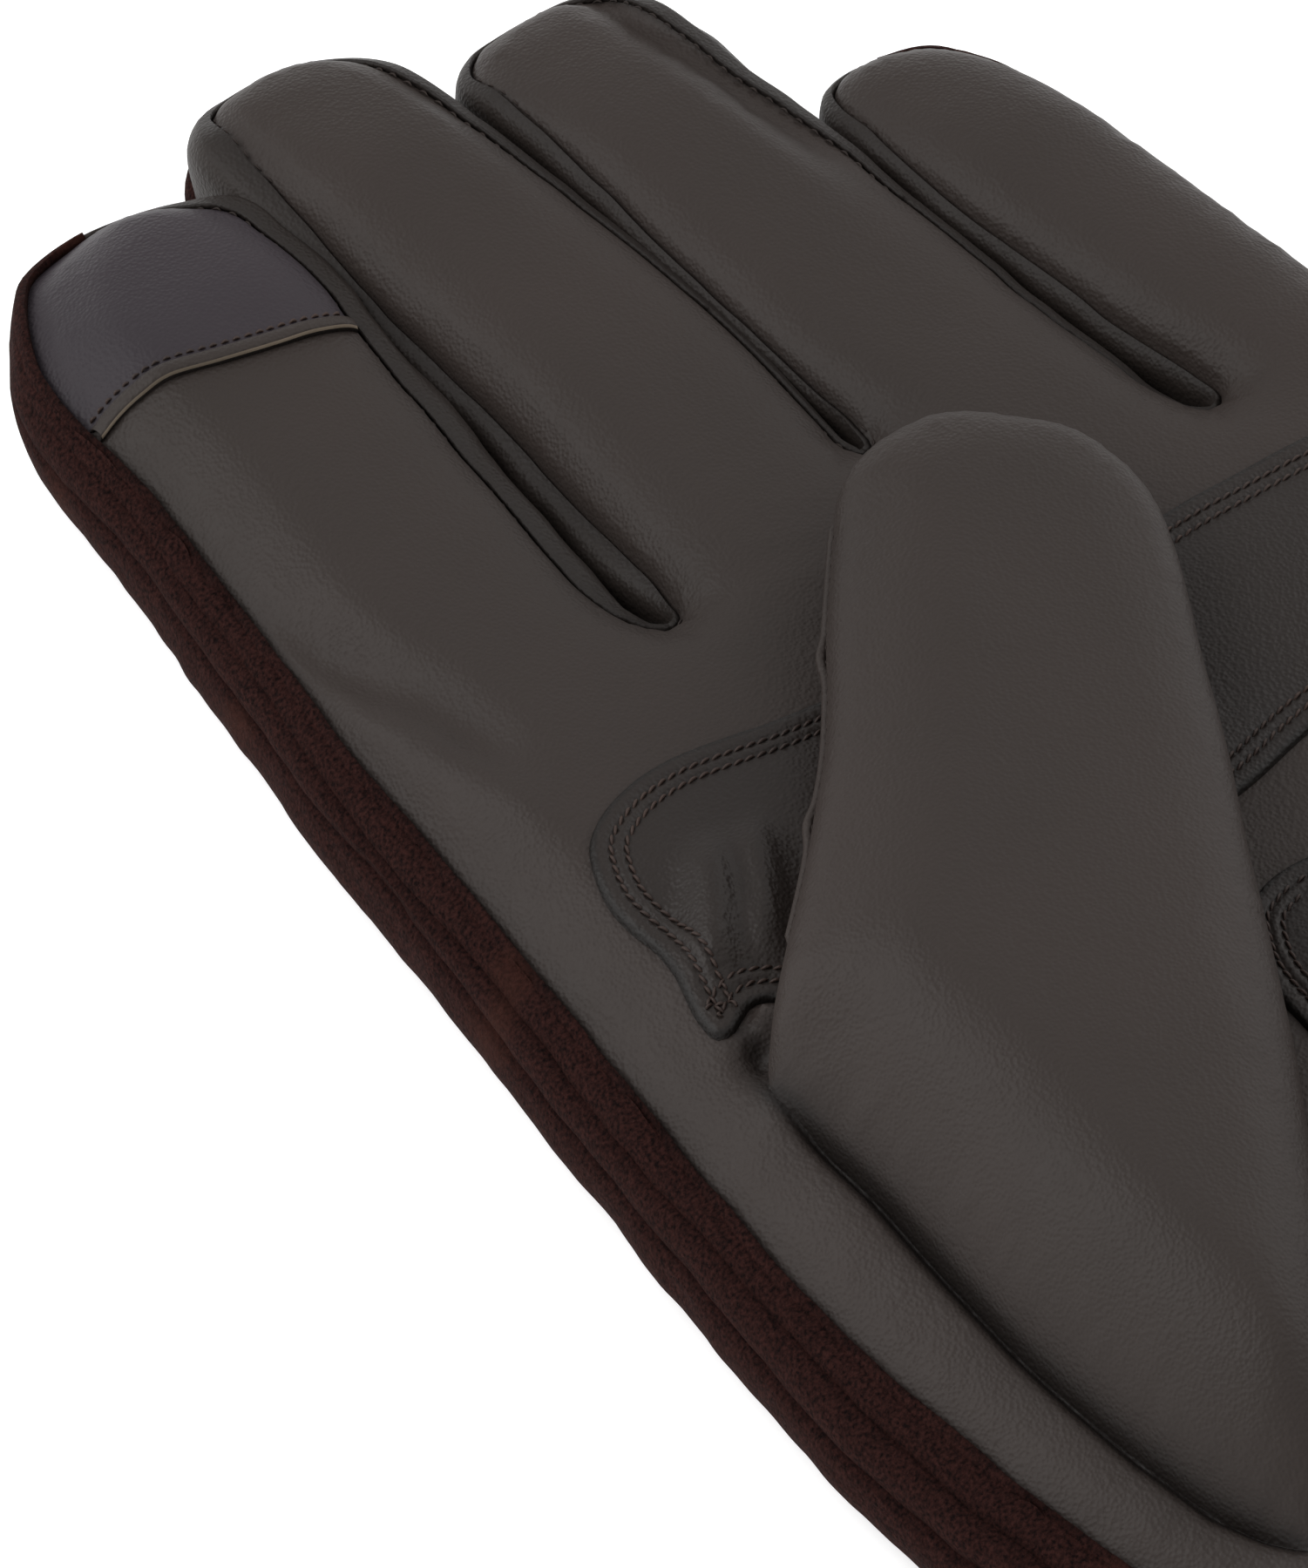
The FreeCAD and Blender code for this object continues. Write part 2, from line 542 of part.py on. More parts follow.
# ---- recompute, check, write ----------------------------------------------
doc.recompute()
bad = []
for o in doc.Objects:
    if any(s in ("Invalid", "Error") for s in o.State):
        bad.append((o.Name, o.State))
for b in bodies:
    s = b.Shape
    if s.isNull() or not s.isValid() or s.Volume <= 0:
        bad.append((b.Label, "shape null or invalid"))
if bad:
    for x in bad:
        print("BAD", x)
    raise SystemExit(1)

os.makedirs("parts", exist_ok=True)
box = FreeCAD.BoundBox()
for b in bodies:
    s = b.Shape
    box.add(s.BoundBox)
    s.exportStep("parts/%s.step" % b.Label)
    print("%-34s solids %d  volume %9.1f  box x %.1f..%.1f y %.1f..%.1f z %.1f..%.1f" % (
        b.Label, len(s.Solids), s.Volume, s.BoundBox.XMin, s.BoundBox.XMax,
        s.BoundBox.YMin, s.BoundBox.YMax, s.BoundBox.ZMin, s.BoundBox.ZMax))
print("nodes", len(bodies), "box", box)
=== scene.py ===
import json
import math
import random
import bpy
import numpy as np
from mathutils import Vector, Matrix
from mathutils.geometry import delaunay_2d_cdt


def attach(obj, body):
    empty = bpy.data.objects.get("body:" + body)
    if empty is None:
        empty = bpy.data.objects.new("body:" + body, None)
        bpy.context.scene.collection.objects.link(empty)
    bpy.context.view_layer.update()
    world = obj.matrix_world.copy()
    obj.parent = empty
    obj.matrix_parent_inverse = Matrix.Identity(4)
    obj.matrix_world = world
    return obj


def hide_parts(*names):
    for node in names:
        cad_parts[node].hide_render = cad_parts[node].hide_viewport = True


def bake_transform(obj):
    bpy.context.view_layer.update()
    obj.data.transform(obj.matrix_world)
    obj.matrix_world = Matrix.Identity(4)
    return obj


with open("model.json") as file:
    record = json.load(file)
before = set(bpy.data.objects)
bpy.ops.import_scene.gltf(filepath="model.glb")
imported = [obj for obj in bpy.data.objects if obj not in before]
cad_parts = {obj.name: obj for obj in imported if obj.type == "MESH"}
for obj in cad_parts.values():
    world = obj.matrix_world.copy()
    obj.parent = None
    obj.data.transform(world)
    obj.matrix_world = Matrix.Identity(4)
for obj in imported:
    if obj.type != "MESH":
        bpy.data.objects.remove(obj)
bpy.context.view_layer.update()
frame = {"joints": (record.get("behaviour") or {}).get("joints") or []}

rng = np.random.RandomState(7)

# ---------------------------------------------------------------------------
# All the shapes below are worked out in millimetres in the glove's own frame
# and turned to metres when the meshes are made.
# ---------------------------------------------------------------------------
MM = 0.001


def smooth(a, b, x):
    t = np.clip((np.asarray(x, float) - a) / (b - a), 0, 1)
    return t * t * (3 - 2 * t)


def arc_len(p):
    return np.concatenate([[0], np.cumsum(np.linalg.norm(np.diff(p, axis=0), axis=1))])


def spline(points, step, closed=False):
    """Centripetal-like smooth curve through points (n, k), resampled evenly."""
    p = np.asarray(points, float)
    n = len(p)
    out = []
    for i in range(n - 1 if not closed else n):
        p0 = p[i - 1] if (closed or i > 0) else 2 * p[0] - p[1]
        p1, p2 = p[i % n], p[(i + 1) % n]
        p3 = p[(i + 2) % n] if (closed or i + 2 < n) else 2 * p[-1] - p[-2]
        d1 = max(np.linalg.norm(p2[:2] - p1[:2]), 1e-6)
        d0 = max(np.linalg.norm(p1[:2] - p0[:2]), 1e-6)
        d2 = max(np.linalg.norm(p3[:2] - p2[:2]), 1e-6)
        m1 = ((p1 - p0) / d0 * d1 + (p2 - p1) / d1 * d0) / (d0 + d1) * d1
        m2 = ((p2 - p1) / d1 * d2 + (p3 - p2) / d2 * d1) / (d1 + d2) * d1
        for t in np.linspace(0, 1, 24, endpoint=False):
            t2, t3 = t * t, t * t * t
            out.append((2 * t3 - 3 * t2 + 1) * p1 + (t3 - 2 * t2 + t) * m1
                       + (-2 * t3 + 3 * t2) * p2 + (t3 - t2) * m2)
    out.append(p[0] if closed else p[-1])
    out = np.array(out)
    s = arc_len(out[:, :2])
    k = max(2, int(round(s[-1] / step)))
    u = np.linspace(0, s[-1], k + 1)
    res = np.stack([np.interp(u, s, out[:, c]) for c in range(out.shape[1])], 1)
    return res[:-1] if closed else res


# ---- smooth noise that is the same every time ------------------------------
_G = {}


def noise2(x, y, scale, seed=0):
    """Smooth value noise about 0, roughly -1..1, features about `scale` mm."""
    if seed not in _G:
        _G[seed] = np.random.RandomState(1000 + seed).uniform(-1, 1, (128, 128))
    g = _G[seed]
    u, v = np.asarray(x) / scale + 37.3, np.asarray(y) / scale + 51.7
    iu, iv = np.floor(u).astype(int), np.floor(v).astype(int)
    fu, fv = u - iu, v - iv
    fu, fv = fu * fu * fu * (fu * (fu * 6 - 15) + 10), fv * fv * fv * (fv * (fv * 6 - 15) + 10)
    a, b = g[iu % 128, iv % 128], g[(iu + 1) % 128, iv % 128]
    c, d = g[iu % 128, (iv + 1) % 128], g[(iu + 1) % 128, (iv + 1) % 128]
    return (a * (1 - fu) + b * fu) * (1 - fv) + (c * (1 - fu) + d * fu) * fv


def seg_dist(px, py, poly, closed=False):
    """Distance to a polyline, signed side, and the parameter (arc length) of the nearest point."""
    poly = np.asarray(poly, float)[:, :2]
    if closed:
        poly = np.vstack([poly, poly[:1]])
    s = arc_len(poly)
    best = np.full(len(px), 1e9)
    par = np.zeros(len(px))
    side = np.zeros(len(px))
    for i in range(len(poly) - 1):
        ax, ay = poly[i]
        dx, dy = poly[i + 1] - poly[i]
        L2 = dx * dx + dy * dy
        if L2 < 1e-12:
            continue
        t = np.clip(((px - ax) * dx + (py - ay) * dy) / L2, 0, 1)
        ex, ey = px - ax - t * dx, py - ay - t * dy
        d = np.sqrt(ex * ex + ey * ey)
        m = d < best
        best[m] = d[m]
        par[m] = (s[i] + t * math.sqrt(L2))[m]
        side[m] = np.sign(dx * ey - dy * ex)[m]
    return best, side, par


# ---------------------------------------------------------------------------
# Fingers: the CAD joints, and the zones over which the leather bends
# ---------------------------------------------------------------------------
JO = {j["name"]: j for j in frame["joints"]}
FING = {}
for f in ("index", "middle", "ring", "little"):
    a, b = JO[f + "_base_bend"], JO[f + "_middle_bend"]
    pa, pb = np.array(a["pos_m"]) / MM, np.array(b["pos_m"]) / MM
    d = (pb - pa)[:2]
    L1 = float(np.linalg.norm(d))
    d = d / L1
    FING[f] = dict(base=pa[:2], dir=d, L1=L1,
                   za={"index": (-6.8, 12.0), "middle": (-6.2, 12.0), "ring": (-8.4, 11.0), "little": (-8.0, 8.5)}[f],
                   zb=(-11.0, 11.0) if f != "little" else (-9.0, 9.0),
                   split={"index": 16.5, "middle": 16.5, "ring": 13.5, "little": 11.2}[f])

SLOT = {
    "s1": np.array([(-13, 20), (-12.4, 43), (-12.6, 48), (-11.9, 55), (-10.6, 63), (-9.7, 75), (-8.4, 90), (-6.9, 100),
                    (-6.2, 107), (-6.0, 113), (-9.5, 121), (-12, 135)], float),
    "s2": np.array([(14.6, 20), (14.7, 46.5), (15.4, 60), (16.6, 80), (17.2, 95), (17.6, 110), (17.8, 135)], float),
    "s3": np.array([(42.4, 10), (42.2, 29), (41.0, 45), (40.7, 60), (40.9, 75), (42.6, 90), (43, 135)], float)}


def slot_x(k, y):
    p = SLOT[k]
    return np.interp(y, p[:, 1], p[:, 0])


def zone_of(x, y):
    """Name of the piece zone for plan points: hand, or finger + base/end."""
    x, y = np.asarray(x, float), np.asarray(y, float)
    fi = (x > slot_x("s1", y)).astype(int) + (x > slot_x("s2", y)) + (x > slot_x("s3", y))
    out = np.zeros(len(x), int)          # 0 hand, 1 + 2*finger for base, 2 + 2*finger for end
    for k, f in enumerate(FING):
        F = FING[f]
        t = (x - F["base"][0]) * F["dir"][0] + (y - F["base"][1]) * F["dir"][1]
        m = (fi == k) & (t > F["za"][0] - 1.2)
        out[m] = 1 + 2 * k
        out[m & (t > F["split"])] = 2 + 2 * k
    return out


ZONES = [("hand", None, None)]
for f in FING:
    ZONES += [(f + "_base", f, "a"), (f + "_end", f, "b")]

# ---------------------------------------------------------------------------
# The rim: the closed run of seams that edges the palm leather, from the cuff's
# index corner up round the fingers and back to the cuff's little-finger corner.
# x, y, z of the seam; W = how far the side stands out beyond it; beta = 1 where
# the suede of the back rolls up to the seam, 0 where a fourchette goes down.
# ---------------------------------------------------------------------------
RIM = [
    # index side, cuff to tip (suede)
    (-44.6, -125.4, 8.6, 1.6, 1), (-43.6, -112, 8.8, 1.8, 1), (-43.2, -102, 9.2, 2.2, 1), (-43.8, -94, 9.8, 2.6, 1),
    (-46.4, -85, 10.8, 3.5, 1), (-50.2, -75, 11.6, 5.0, 1), (-53.0, -64, 12.0, 6.6, 1), (-54.3, -54, 12.2, 7.1, 1),
    (-54.8, -44, 12.2, 6.9, 1), (-55.1, -30, 12.2, 5.8, 1), (-54.4, -18, 12.1, 5.2, 1), (-53.2, -8.6, 12.0, 5.0, 1),
    (-50.9, 7, 12.0, 4.8, 1), (-48.3, 23, 12.0, 4.7, 1), (-46.0, 38, 12.0, 4.6, 1), (-43.9, 53, 11.8, 4.5, 1),
    (-41.3, 66, 11.6, 4.3, 1), (-38.9, 79.0, 11.5, 4.0, 1), (-37.0, 91.0, 11.3, 3.6, 1), (-36.4, 99.4, 11.0, 2.9, 1),
    (-34.9, 107.3, 10.7, 1.9, 1), (-32.6, 111.7, 10.4, 1.3, 1), (-30.1, 115.4, 9.8, .8, 1), (-27.6, 118.0, 8.8, .45, 1),
    # index tip and its inner side (fourchette)
    (-23.9, 119.5, 7.8, .35, .9), (-19.2, 119.6, 7.8, .35, .6), (-14.8, 118.0, 8.4, .5, .25), (-11.3, 115.1, 9.8, 1.2, 0),
    (-9.4, 111.4, 11.8, 2.6, 0), (-8.7, 105.0, 12.4, 2.6, 0), (-9.2, 98.0, 12.8, 2.4, 0), (-10.5, 90.5, 13.0, 2.4, 0),
    (-12.2, 81.0, 13.0, 2.6, 0), (-13.3, 74.0, 13.0, 2.5, 0), (-14.4, 66.0, 13.0, 2.5, 0), (-15.6, 58.0, 13.0, 2.7, 0),
    (-16.4, 51.5, 13.0, 2.6, 0), (-15.9, 46.6, 13.0, 1.5, 0), (-14.6, 43.9, 12.9, .5, 0),
    # index/middle web
    (-13.0, 42.9, 12.8, .2, 0), (-11.6, 43.4, 12.6, .25, 0),
    # middle, index side
    (-10.6, 45.8, 12.0, .7, 0), (-9.7, 50.0, 11.2, 1.7, 0), (-9.0, 56.0, 10.4, 2.1, 0), (-8.2, 63.0, 10.0, 1.9, 0),
    (-7.0, 73.0, 10.0, 1.5, 0), (-6.2, 84.0, 10.2, 1.6, 0), (-5.8, 92.0, 10.6, 1.7, 0), (-5.1, 100.0, 11.2, 2.0, 0),
    (-4.4, 107.0, 11.9, 2.5, 0), (-3.8, 113.0, 12.3, 3.0, 0), (-3.0, 118.2, 12.0, 3.0, 0), (-1.3, 122.1, 9.6, 1.5, .1),
    # middle tip
    (2.7, 123.8, 8.0, .4, .35), (6.8, 123.6, 8.0, .4, .35), (10.6, 121.8, 8.8, .6, .15),
    (13.0, 118.0, 10.6, .9, 0), (13.8, 112.6, 12.6, 1.5, 0), (14.6, 106.6, 13.0, 1.4, 0), (15.1, 98.0, 13.0, 1.3, 0),
    (15.3, 88.0, 13.0, 1.1, 0), (15.5, 80.0, 13.0, .95, 0), (15.3, 71.0, 13.0, .85, 0), (14.9, 63.0, 13.0, .8, 0),
    (14.1, 56.8, 13.0, .7, 0), (13.5, 51.3, 13.0, .5, 0), (13.5, 48.2, 13.0, .3, 0),
    # middle/ring web
    (14.4, 46.6, 12.9, .15, 0), (15.6, 46.9, 12.9, .15, 0), (16.2, 49.2, 13.0, .3, 0),
    (16.5, 55.0, 13.0, .6, 0), (17.0, 64.0, 13.0, .8, 0), (17.5, 73.0, 13.0, .9, 0), (18.1, 80.5, 13.0, 1.0, 0),
    (18.7, 87.5, 13.0, 1.1, 0), (19.3, 94.5, 12.9, 1.2, 0), (19.7, 100.0, 12.7, 1.3, 0), (20.0, 104.6, 12.4, 1.4, 0),
    (20.7, 109.1, 10.2, 1.1, .1), (23.5, 111.7, 8.6, .5, .3), (27.3, 112.5, 7.8, .35, .4), (31.2, 112.3, 7.8, .4, .35),
    (34.8, 111.0, 8.8, .7, .15), (37.3, 107.8, 10.4, 1.4, 0), (37.6, 103.4, 12.4, 2.0, 0), (38.0, 98.0, 12.8, 2.0, 0),
    (38.0, 91.0, 13.0, 1.9, 0), (38.6, 84.0, 13.0, 1.7, 0), (39.0, 76.0, 13.0, 1.3, 0), (38.9, 66.0, 13.0, 1.1, 0),
    (38.8, 56.0, 13.0, 1.2, 0), (38.7, 47.0, 13.0, 1.3, 0), (38.8, 39.5, 13.0, 1.2, 0), (39.6, 33.0, 13.0, .8, 0),
    # ring/little web
    (41.0, 29.6, 12.9, .4, 0), (42.6, 28.6, 12.8, .3, 0), (44.2, 29.4, 12.7, .5, 0),
    (44.4, 33.0, 12.6, .8, 0), (43.8, 38.0, 12.5, 1.0, 0), (43.3, 44.0, 12.4, 1.0, 0), (43.2, 50.0, 12.3, 1.0, 0),
    (42.9, 57.0, 12.2, 1.0, 0), (42.6, 64.0, 12.1, 1.0, 0), (42.9, 71.0, 12.0, 1.1, 0), (43.5, 77.0, 11.7, 1.3, 0),
    (44.3, 82.2, 10.2, 1.2, 0), (46.3, 85.2, 8.8, .6, .15), (49.6, 86.2, 8.0, .35, .4), (53.4, 85.2, 7.9, .35, .7),
    (56.8, 82.6, 8.8, .9, .9), (59.4, 78.9, 8.4, .8, 1), (61.1, 73.6, 8.2, .8, 1), (62.1, 66.0, 8.2, .8, 1),
    (62.5, 56.0, 8.2, .8, 1), (62.7, 46.0, 8.2, .8, 1), (62.9, 34.0, 8.2, .9, 1), (63.0, 18.0, 8.3, 1.1, 1),
    (62.3, 2.0, 9.0, 1.7, 1), (61.6, -12.0, 9.0, 1.7, 1), (59.4, -30.0, 9.0, 1.7, 1), (55.4, -46.0, 9.0, 1.6, 1),
    (50.0, -62.0, 9.0, 1.5, 1), (44.6, -76.0, 8.9, 1.5, 1), (40.6, -88.0, 8.8, 1.4, 1), (39.2, -98.0, 8.7, 1.4, 1),
    (39.8, -110.0, 8.6, 1.4, 1), (41.4, -125.4, 8.6, 1.4, 1)]
rim = spline(RIM, 0.8)
NR = len(rim)
T = rim[:, :3].copy()
RW, RB = rim[:, 3], np.clip(rim[:, 4], 0, 1)
tan = np.gradient(T[:, :2], axis=0)
tan /= np.linalg.norm(tan, axis=1)[:, None]
# the run goes up the left and down the right, so outwards is to the left of travel
NRM = np.stack([-tan[:, 1], tan[:, 0]], 1)
for _ in range(3):
    NRM = (np.roll(NRM, 1, 0) + 2 * NRM + np.roll(NRM, -1, 0)) / 4
    NRM[0], NRM[-1] = (-1, 0), (1, 0)
NRM /= np.linalg.norm(NRM, axis=1)[:, None]
SARC = arc_len(T[:, :2])

# a little unevenness along the seams, none at the cuff
wob = 0.16 * noise2(SARC, SARC * 0, 9.0, 3) + 0.09 * noise2(SARC, SARC * 0 + 5, 3.4, 4)
T[:, :2] += NRM * (wob * np.clip(RW, 0, 1.2) * 0.8)[:, None]
T[:, 2] += 0.18 * noise2(SARC, SARC * 0 + 9, 7.0, 5)

# ---------------------------------------------------------------------------
# Height of the palm leather over the plan
# ---------------------------------------------------------------------------
def quarter(s):
    s = np.clip(s, 0, 1)
    return np.sqrt(np.maximum(0, 1 - (1 - s) ** 2))


TIPLEN = {"index": 68.0, "middle": 71.0, "ring": 57.5, "little": 48.0}
WEBS = [(-12.9, 42.6), (15.0, 46.2), (42.6, 28.2)]
FOLD_A = np.array([(-42.5, 74), (-40.6, 67.5), (-38.4, 60), (-36.6, 51), (-36.4, 42), (-38.0, 33)], float)
FOLD_B = np.array([(-45.0, 62), (-43.0, 54), (-41.0, 46), (-40.2, 37), (-41.0, 27)], float)
PUCK_A = np.array([(-28.5, 21.0), (-30.2, 18.6), (-33.4, 14.8), (-36.5, 11.3), (-41.6, 5.4)], float)
PUCK_B = np.array([(-24.4, 19.4), (-26.4, 17.3), (-28.6, 13.8), (-31.1, 10.6), (-36.6, 4.6)], float)
PUCK_V = np.array([(-28.4, 17.8), (-32.2, 12.4), (-38.2, 5.6)], float)
PUCK_W = np.array([(-33.6, 20.6), (-37.0, 16.0), (-40.6, 10.8)], float)
NIP = np.array([(-40.2, 2.2), (-39.3, 1.2), (-38.3, -0.6)], float)
NOOK = np.array([(-41.6, 1.2), (-42.0, -0.8), (-44.2, -4.2)], float)
TIPSEAM = np.array([(-36.9, 98.2), (-34.4, 98.1), (-31.0, 97.4), (-27.4, 96.3), (-23.4, 94.7), (-18.2, 92.9), (-14.0, 91.7), (-10.4, 90.6),
                    (-9.0, 90.2)], float)
CREASE = np.array([(-44.6, -4.9), (-44.5, -8.0), (-44.5, -12.2), (-44.8, -18.8), (-45.5, -25.7), (-46.2, -32.3), (-46.7, -38.7),
                   (-46.8, -46.1), (-46.6, -53.9), (-45.8, -62.0), (-43.2, -70.0), (-41.0, -73.0)], float)


def bump(x, y, poly, amp, w, ends=6.0):
    d, sd, par = seg_dist(x, y, poly)
    s = arc_len(np.asarray(poly)[:, :2])[-1]
    fade = smooth(0, ends, par) * smooth(0, ends, s - par)
    return amp * np.exp(-(d / w) ** 2) * fade, d * sd, fade


rim_pts = T[:, :2]


def nearest_rim(x, y):
    return nearest_rim3(x, y)[:2]


def nearest_rim3(x, y):
    """Distance to the seam run, and the seam's z and kind of side smoothed over nearby runs."""
    x, y = np.asarray(x, float), np.asarray(y, float)
    best = np.full(len(x), 1e9)
    zb = np.zeros(len(x))
    bb = np.zeros(len(x))
    CH = 4000
    P = rim_pts
    for a0 in range(0, len(x), CH):
        sl = slice(a0, a0 + CH)
        dx = x[sl, None] - P[None, :, 0]
        dy = y[sl, None] - P[None, :, 1]
        d2 = dx * dx + dy * dy
        i = d2.argmin(1)
        # refine to the segments either side
        r = np.arange(len(i))
        dmin = np.sqrt(d2[r, i])
        for o in (-1, 0):
            j = np.clip(i + o, 0, NR - 2)
            A, B = P[j], P[j + 1]
            AB = B - A
            t = np.clip(((x[sl] - A[:, 0]) * AB[:, 0] + (y[sl] - A[:, 1]) * AB[:, 1]) / (AB ** 2).sum(1), 0, 1)
            dd = np.hypot(x[sl] - A[:, 0] - t * AB[:, 0], y[sl] - A[:, 1] - t * AB[:, 1])
            dmin = np.minimum(dmin, dd)
        best[sl] = dmin
        w = 1.0 / (d2 + 0.02) ** 2
        zb[sl] = (w * T[None, :, 2]).sum(1) / w.sum(1)
        w = 1.0 / (d2 + 1.0)
        bb[sl] = (w * RB[None, :]).sum(1) / w.sum(1)
    return best, zb, bb


def palm_z(x, y, d=None, zb=None, detail=True):
    """z of the palm leather's outside at plan points."""
    x, y = np.asarray(x, float), np.asarray(y, float)
    d0, z0, bb = nearest_rim3(x, y)
    if d is None:
        d, zb = d0, z0
    fingers = smooth(34, 62, y)
    crown = 17.3 - 1.2 * fingers
    for f, F in FING.items():
        t = (x - F["base"][0]) * F["dir"][0] + (y - F["base"][1]) * F["dir"][1]
        c = np.abs((x - F["base"][0]) * F["dir"][1] - (y - F["base"][1]) * F["dir"][0])
        tip = TIPLEN[f]
        crown = crown - 3.0 * smooth(tip - 24, tip, t) * smooth(19, 15, c) * (t > 20)
    crown = crown - 0.9 * smooth(-80, -112, y)          # a little flatter at the wrist
    Q = 0.66 * quarter(d / 6.4) + 0.34 * quarter(d / 13.0)
    # beside the suede the leather leaves its seam nearly flat
    Qs = 1 - (1 - np.clip(d / 12.0, 0, 1)) ** 2
    kb = smooth(0.25, 0.85, bb) * smooth(9.0, 5.0, d) * smooth(40, 20, x)
    Q = Q * (1 - kb) + Qs * kb
    # a broad palm is fuller in the middle
    z = zb + (crown - zb) * Q
    z = z + 0.9 * np.exp(-((x - 30) / 26.0) ** 2 - ((y - 4) / 30.0) ** 2) * (1 - fingers)
    z = z + 0.6 * np.exp(-((x - 28) / 22.0) ** 2 - ((y + 48) / 24.0) ** 2)
    if detail:
        inner = smooth(0.4, 4.0, d)
        # diagonal soft fold below the index finger
        b1, s1, f1 = bump(x, y, FOLD_A, -2.1, 2.3, 12)
        b2, s2, f2 = bump(x, y, FOLD_B, 1.2, 2.7, 12)
        z = z + (b1 + b2) * inner
        # the folds in the patch's end
        b3, _, _ = bump(x, y, PUCK_A, 2.0, 2.6, 7)
        b4, _, _ = bump(x, y, PUCK_B, 1.5, 1.5, 6)
        b5, _, _ = bump(x, y, PUCK_V, -0.5, 0.9, 4)
        b9, _, _ = bump(x, y, PUCK_W, -0.45, 1.3, 5)
        b7, _, _ = bump(x, y, NIP, 2.3, 0.85, 0.8)
        b10, _, _ = bump(x, y, NOOK, -2.0, 1.8, 2)
        z = z + b3 + b4 + b5 + b7 + b9 + b10
        # puckers run out from each web
        for k, (wx, wy) in enumerate(WEBS):
            r = np.hypot(x - wx, y - wy)
            th = np.arctan2(y - wy, x - wx)
            z = z + 0.24 * np.cos(9 * th + 1.3 * k + 0.25 * r) * np.exp(-((r - 2.2) / 3.4) ** 2) * smooth(0, 2.0, r)
            z = z - 0.85 * np.exp(-(r / 4.2) ** 2)
        # the leather lies unevenly over its lining
        z = z + inner * (0.20 * noise2(x, y, 17.0, 11) + 0.10 * noise2(x, y, 7.5, 12) + 0.015 * noise2(x, y, 3.1, 13))
        # fine cross wrinkles by the middle finger's root, beside the thumb's tip
        w = np.exp(-((x + 2) / 11.0) ** 2 - ((y - 41) / 13.0) ** 2)
        z = z + w * 0.13 * np.sin(1.25 * (x * 0.35 + y) + 2.2 * noise2(x, y, 8.0, 14))
        # it dips towards the thumb's crease
        b6, _, _ = bump(x, y, CREASE, -1.3, 2.0, 8)
        b8, _, _ = bump(x, y, CREASE, -1.2, 0.7, 8)
        z = z + b6 + b8
    return z


# ---------------------------------------------------------------------------
# Triangulated panels
# ---------------------------------------------------------------------------
def inside(px, py, poly):
    poly = np.asarray(poly, float)
    n = len(poly)
    c = np.zeros(len(px), bool)
    for i in range(n):
        x1, y1 = poly[i, 0], poly[i, 1]
        x2, y2 = poly[(i + 1) % n, 0], poly[(i + 1) % n, 1]
        if y1 == y2:
            continue
        m = ((y1 > py) != (y2 > py)) & (px < (x2 - x1) * (py - y1) / (y2 - y1) + x1)
        c ^= m
    return c


def triangulate(loop, pts):
    """Constrained triangulation of a closed loop with free points inside."""
    n = len(loop)
    vs = [Vector((float(p[0]), float(p[1]))) for p in loop] + [Vector((float(p[0]), float(p[1]))) for p in pts]
    edges = [(i, (i + 1) % n) for i in range(n)]
    r = delaunay_2d_cdt(vs, edges, [list(range(n))], 1, 1e-5, True)
    vo = np.array([(v.x, v.y) for v in r[0]])
    faces = []
    for f in r[2]:
        f = list(f)
        a, b, c = vo[f[0]], vo[f[1]], vo[f[2]]
        area = (b[0] - a[0]) * (c[1] - a[1]) - (b[1] - a[1]) * (c[0] - a[0])
        faces.append(f if area > 0 else f[::-1])
    orig = [o[0] if len(o) else -1 for o in r[3]]
    return vo, np.array(faces, int), orig


def hex_points(loop, step, clear):
    lo, hi = np.min(loop, 0)[:2], np.max(loop, 0)[:2]
    ys = np.arange(lo[1], hi[1], step * 0.866)
    out = []
    for k, y in enumerate(ys):
        xs = np.arange(lo[0] + (k % 2) * step / 2, hi[0], step)
        out.append(np.stack([xs, np.full(len(xs), y)], 1))
    p = np.concatenate(out)
    p = p[inside(p[:, 0], p[:, 1], loop)]
    return p


def vertex_normals(V, F):
    fn = np.cross(V[F[:, 1]] - V[F[:, 0]], V[F[:, 2]] - V[F[:, 0]])
    N = np.zeros_like(V)
    for k in range(F.shape[1]):
        np.add.at(N, F[:, k], fn)
    L = np.linalg.norm(N, axis=1)
    L[L == 0] = 1
    return N / L[:, None]


PIECES = []


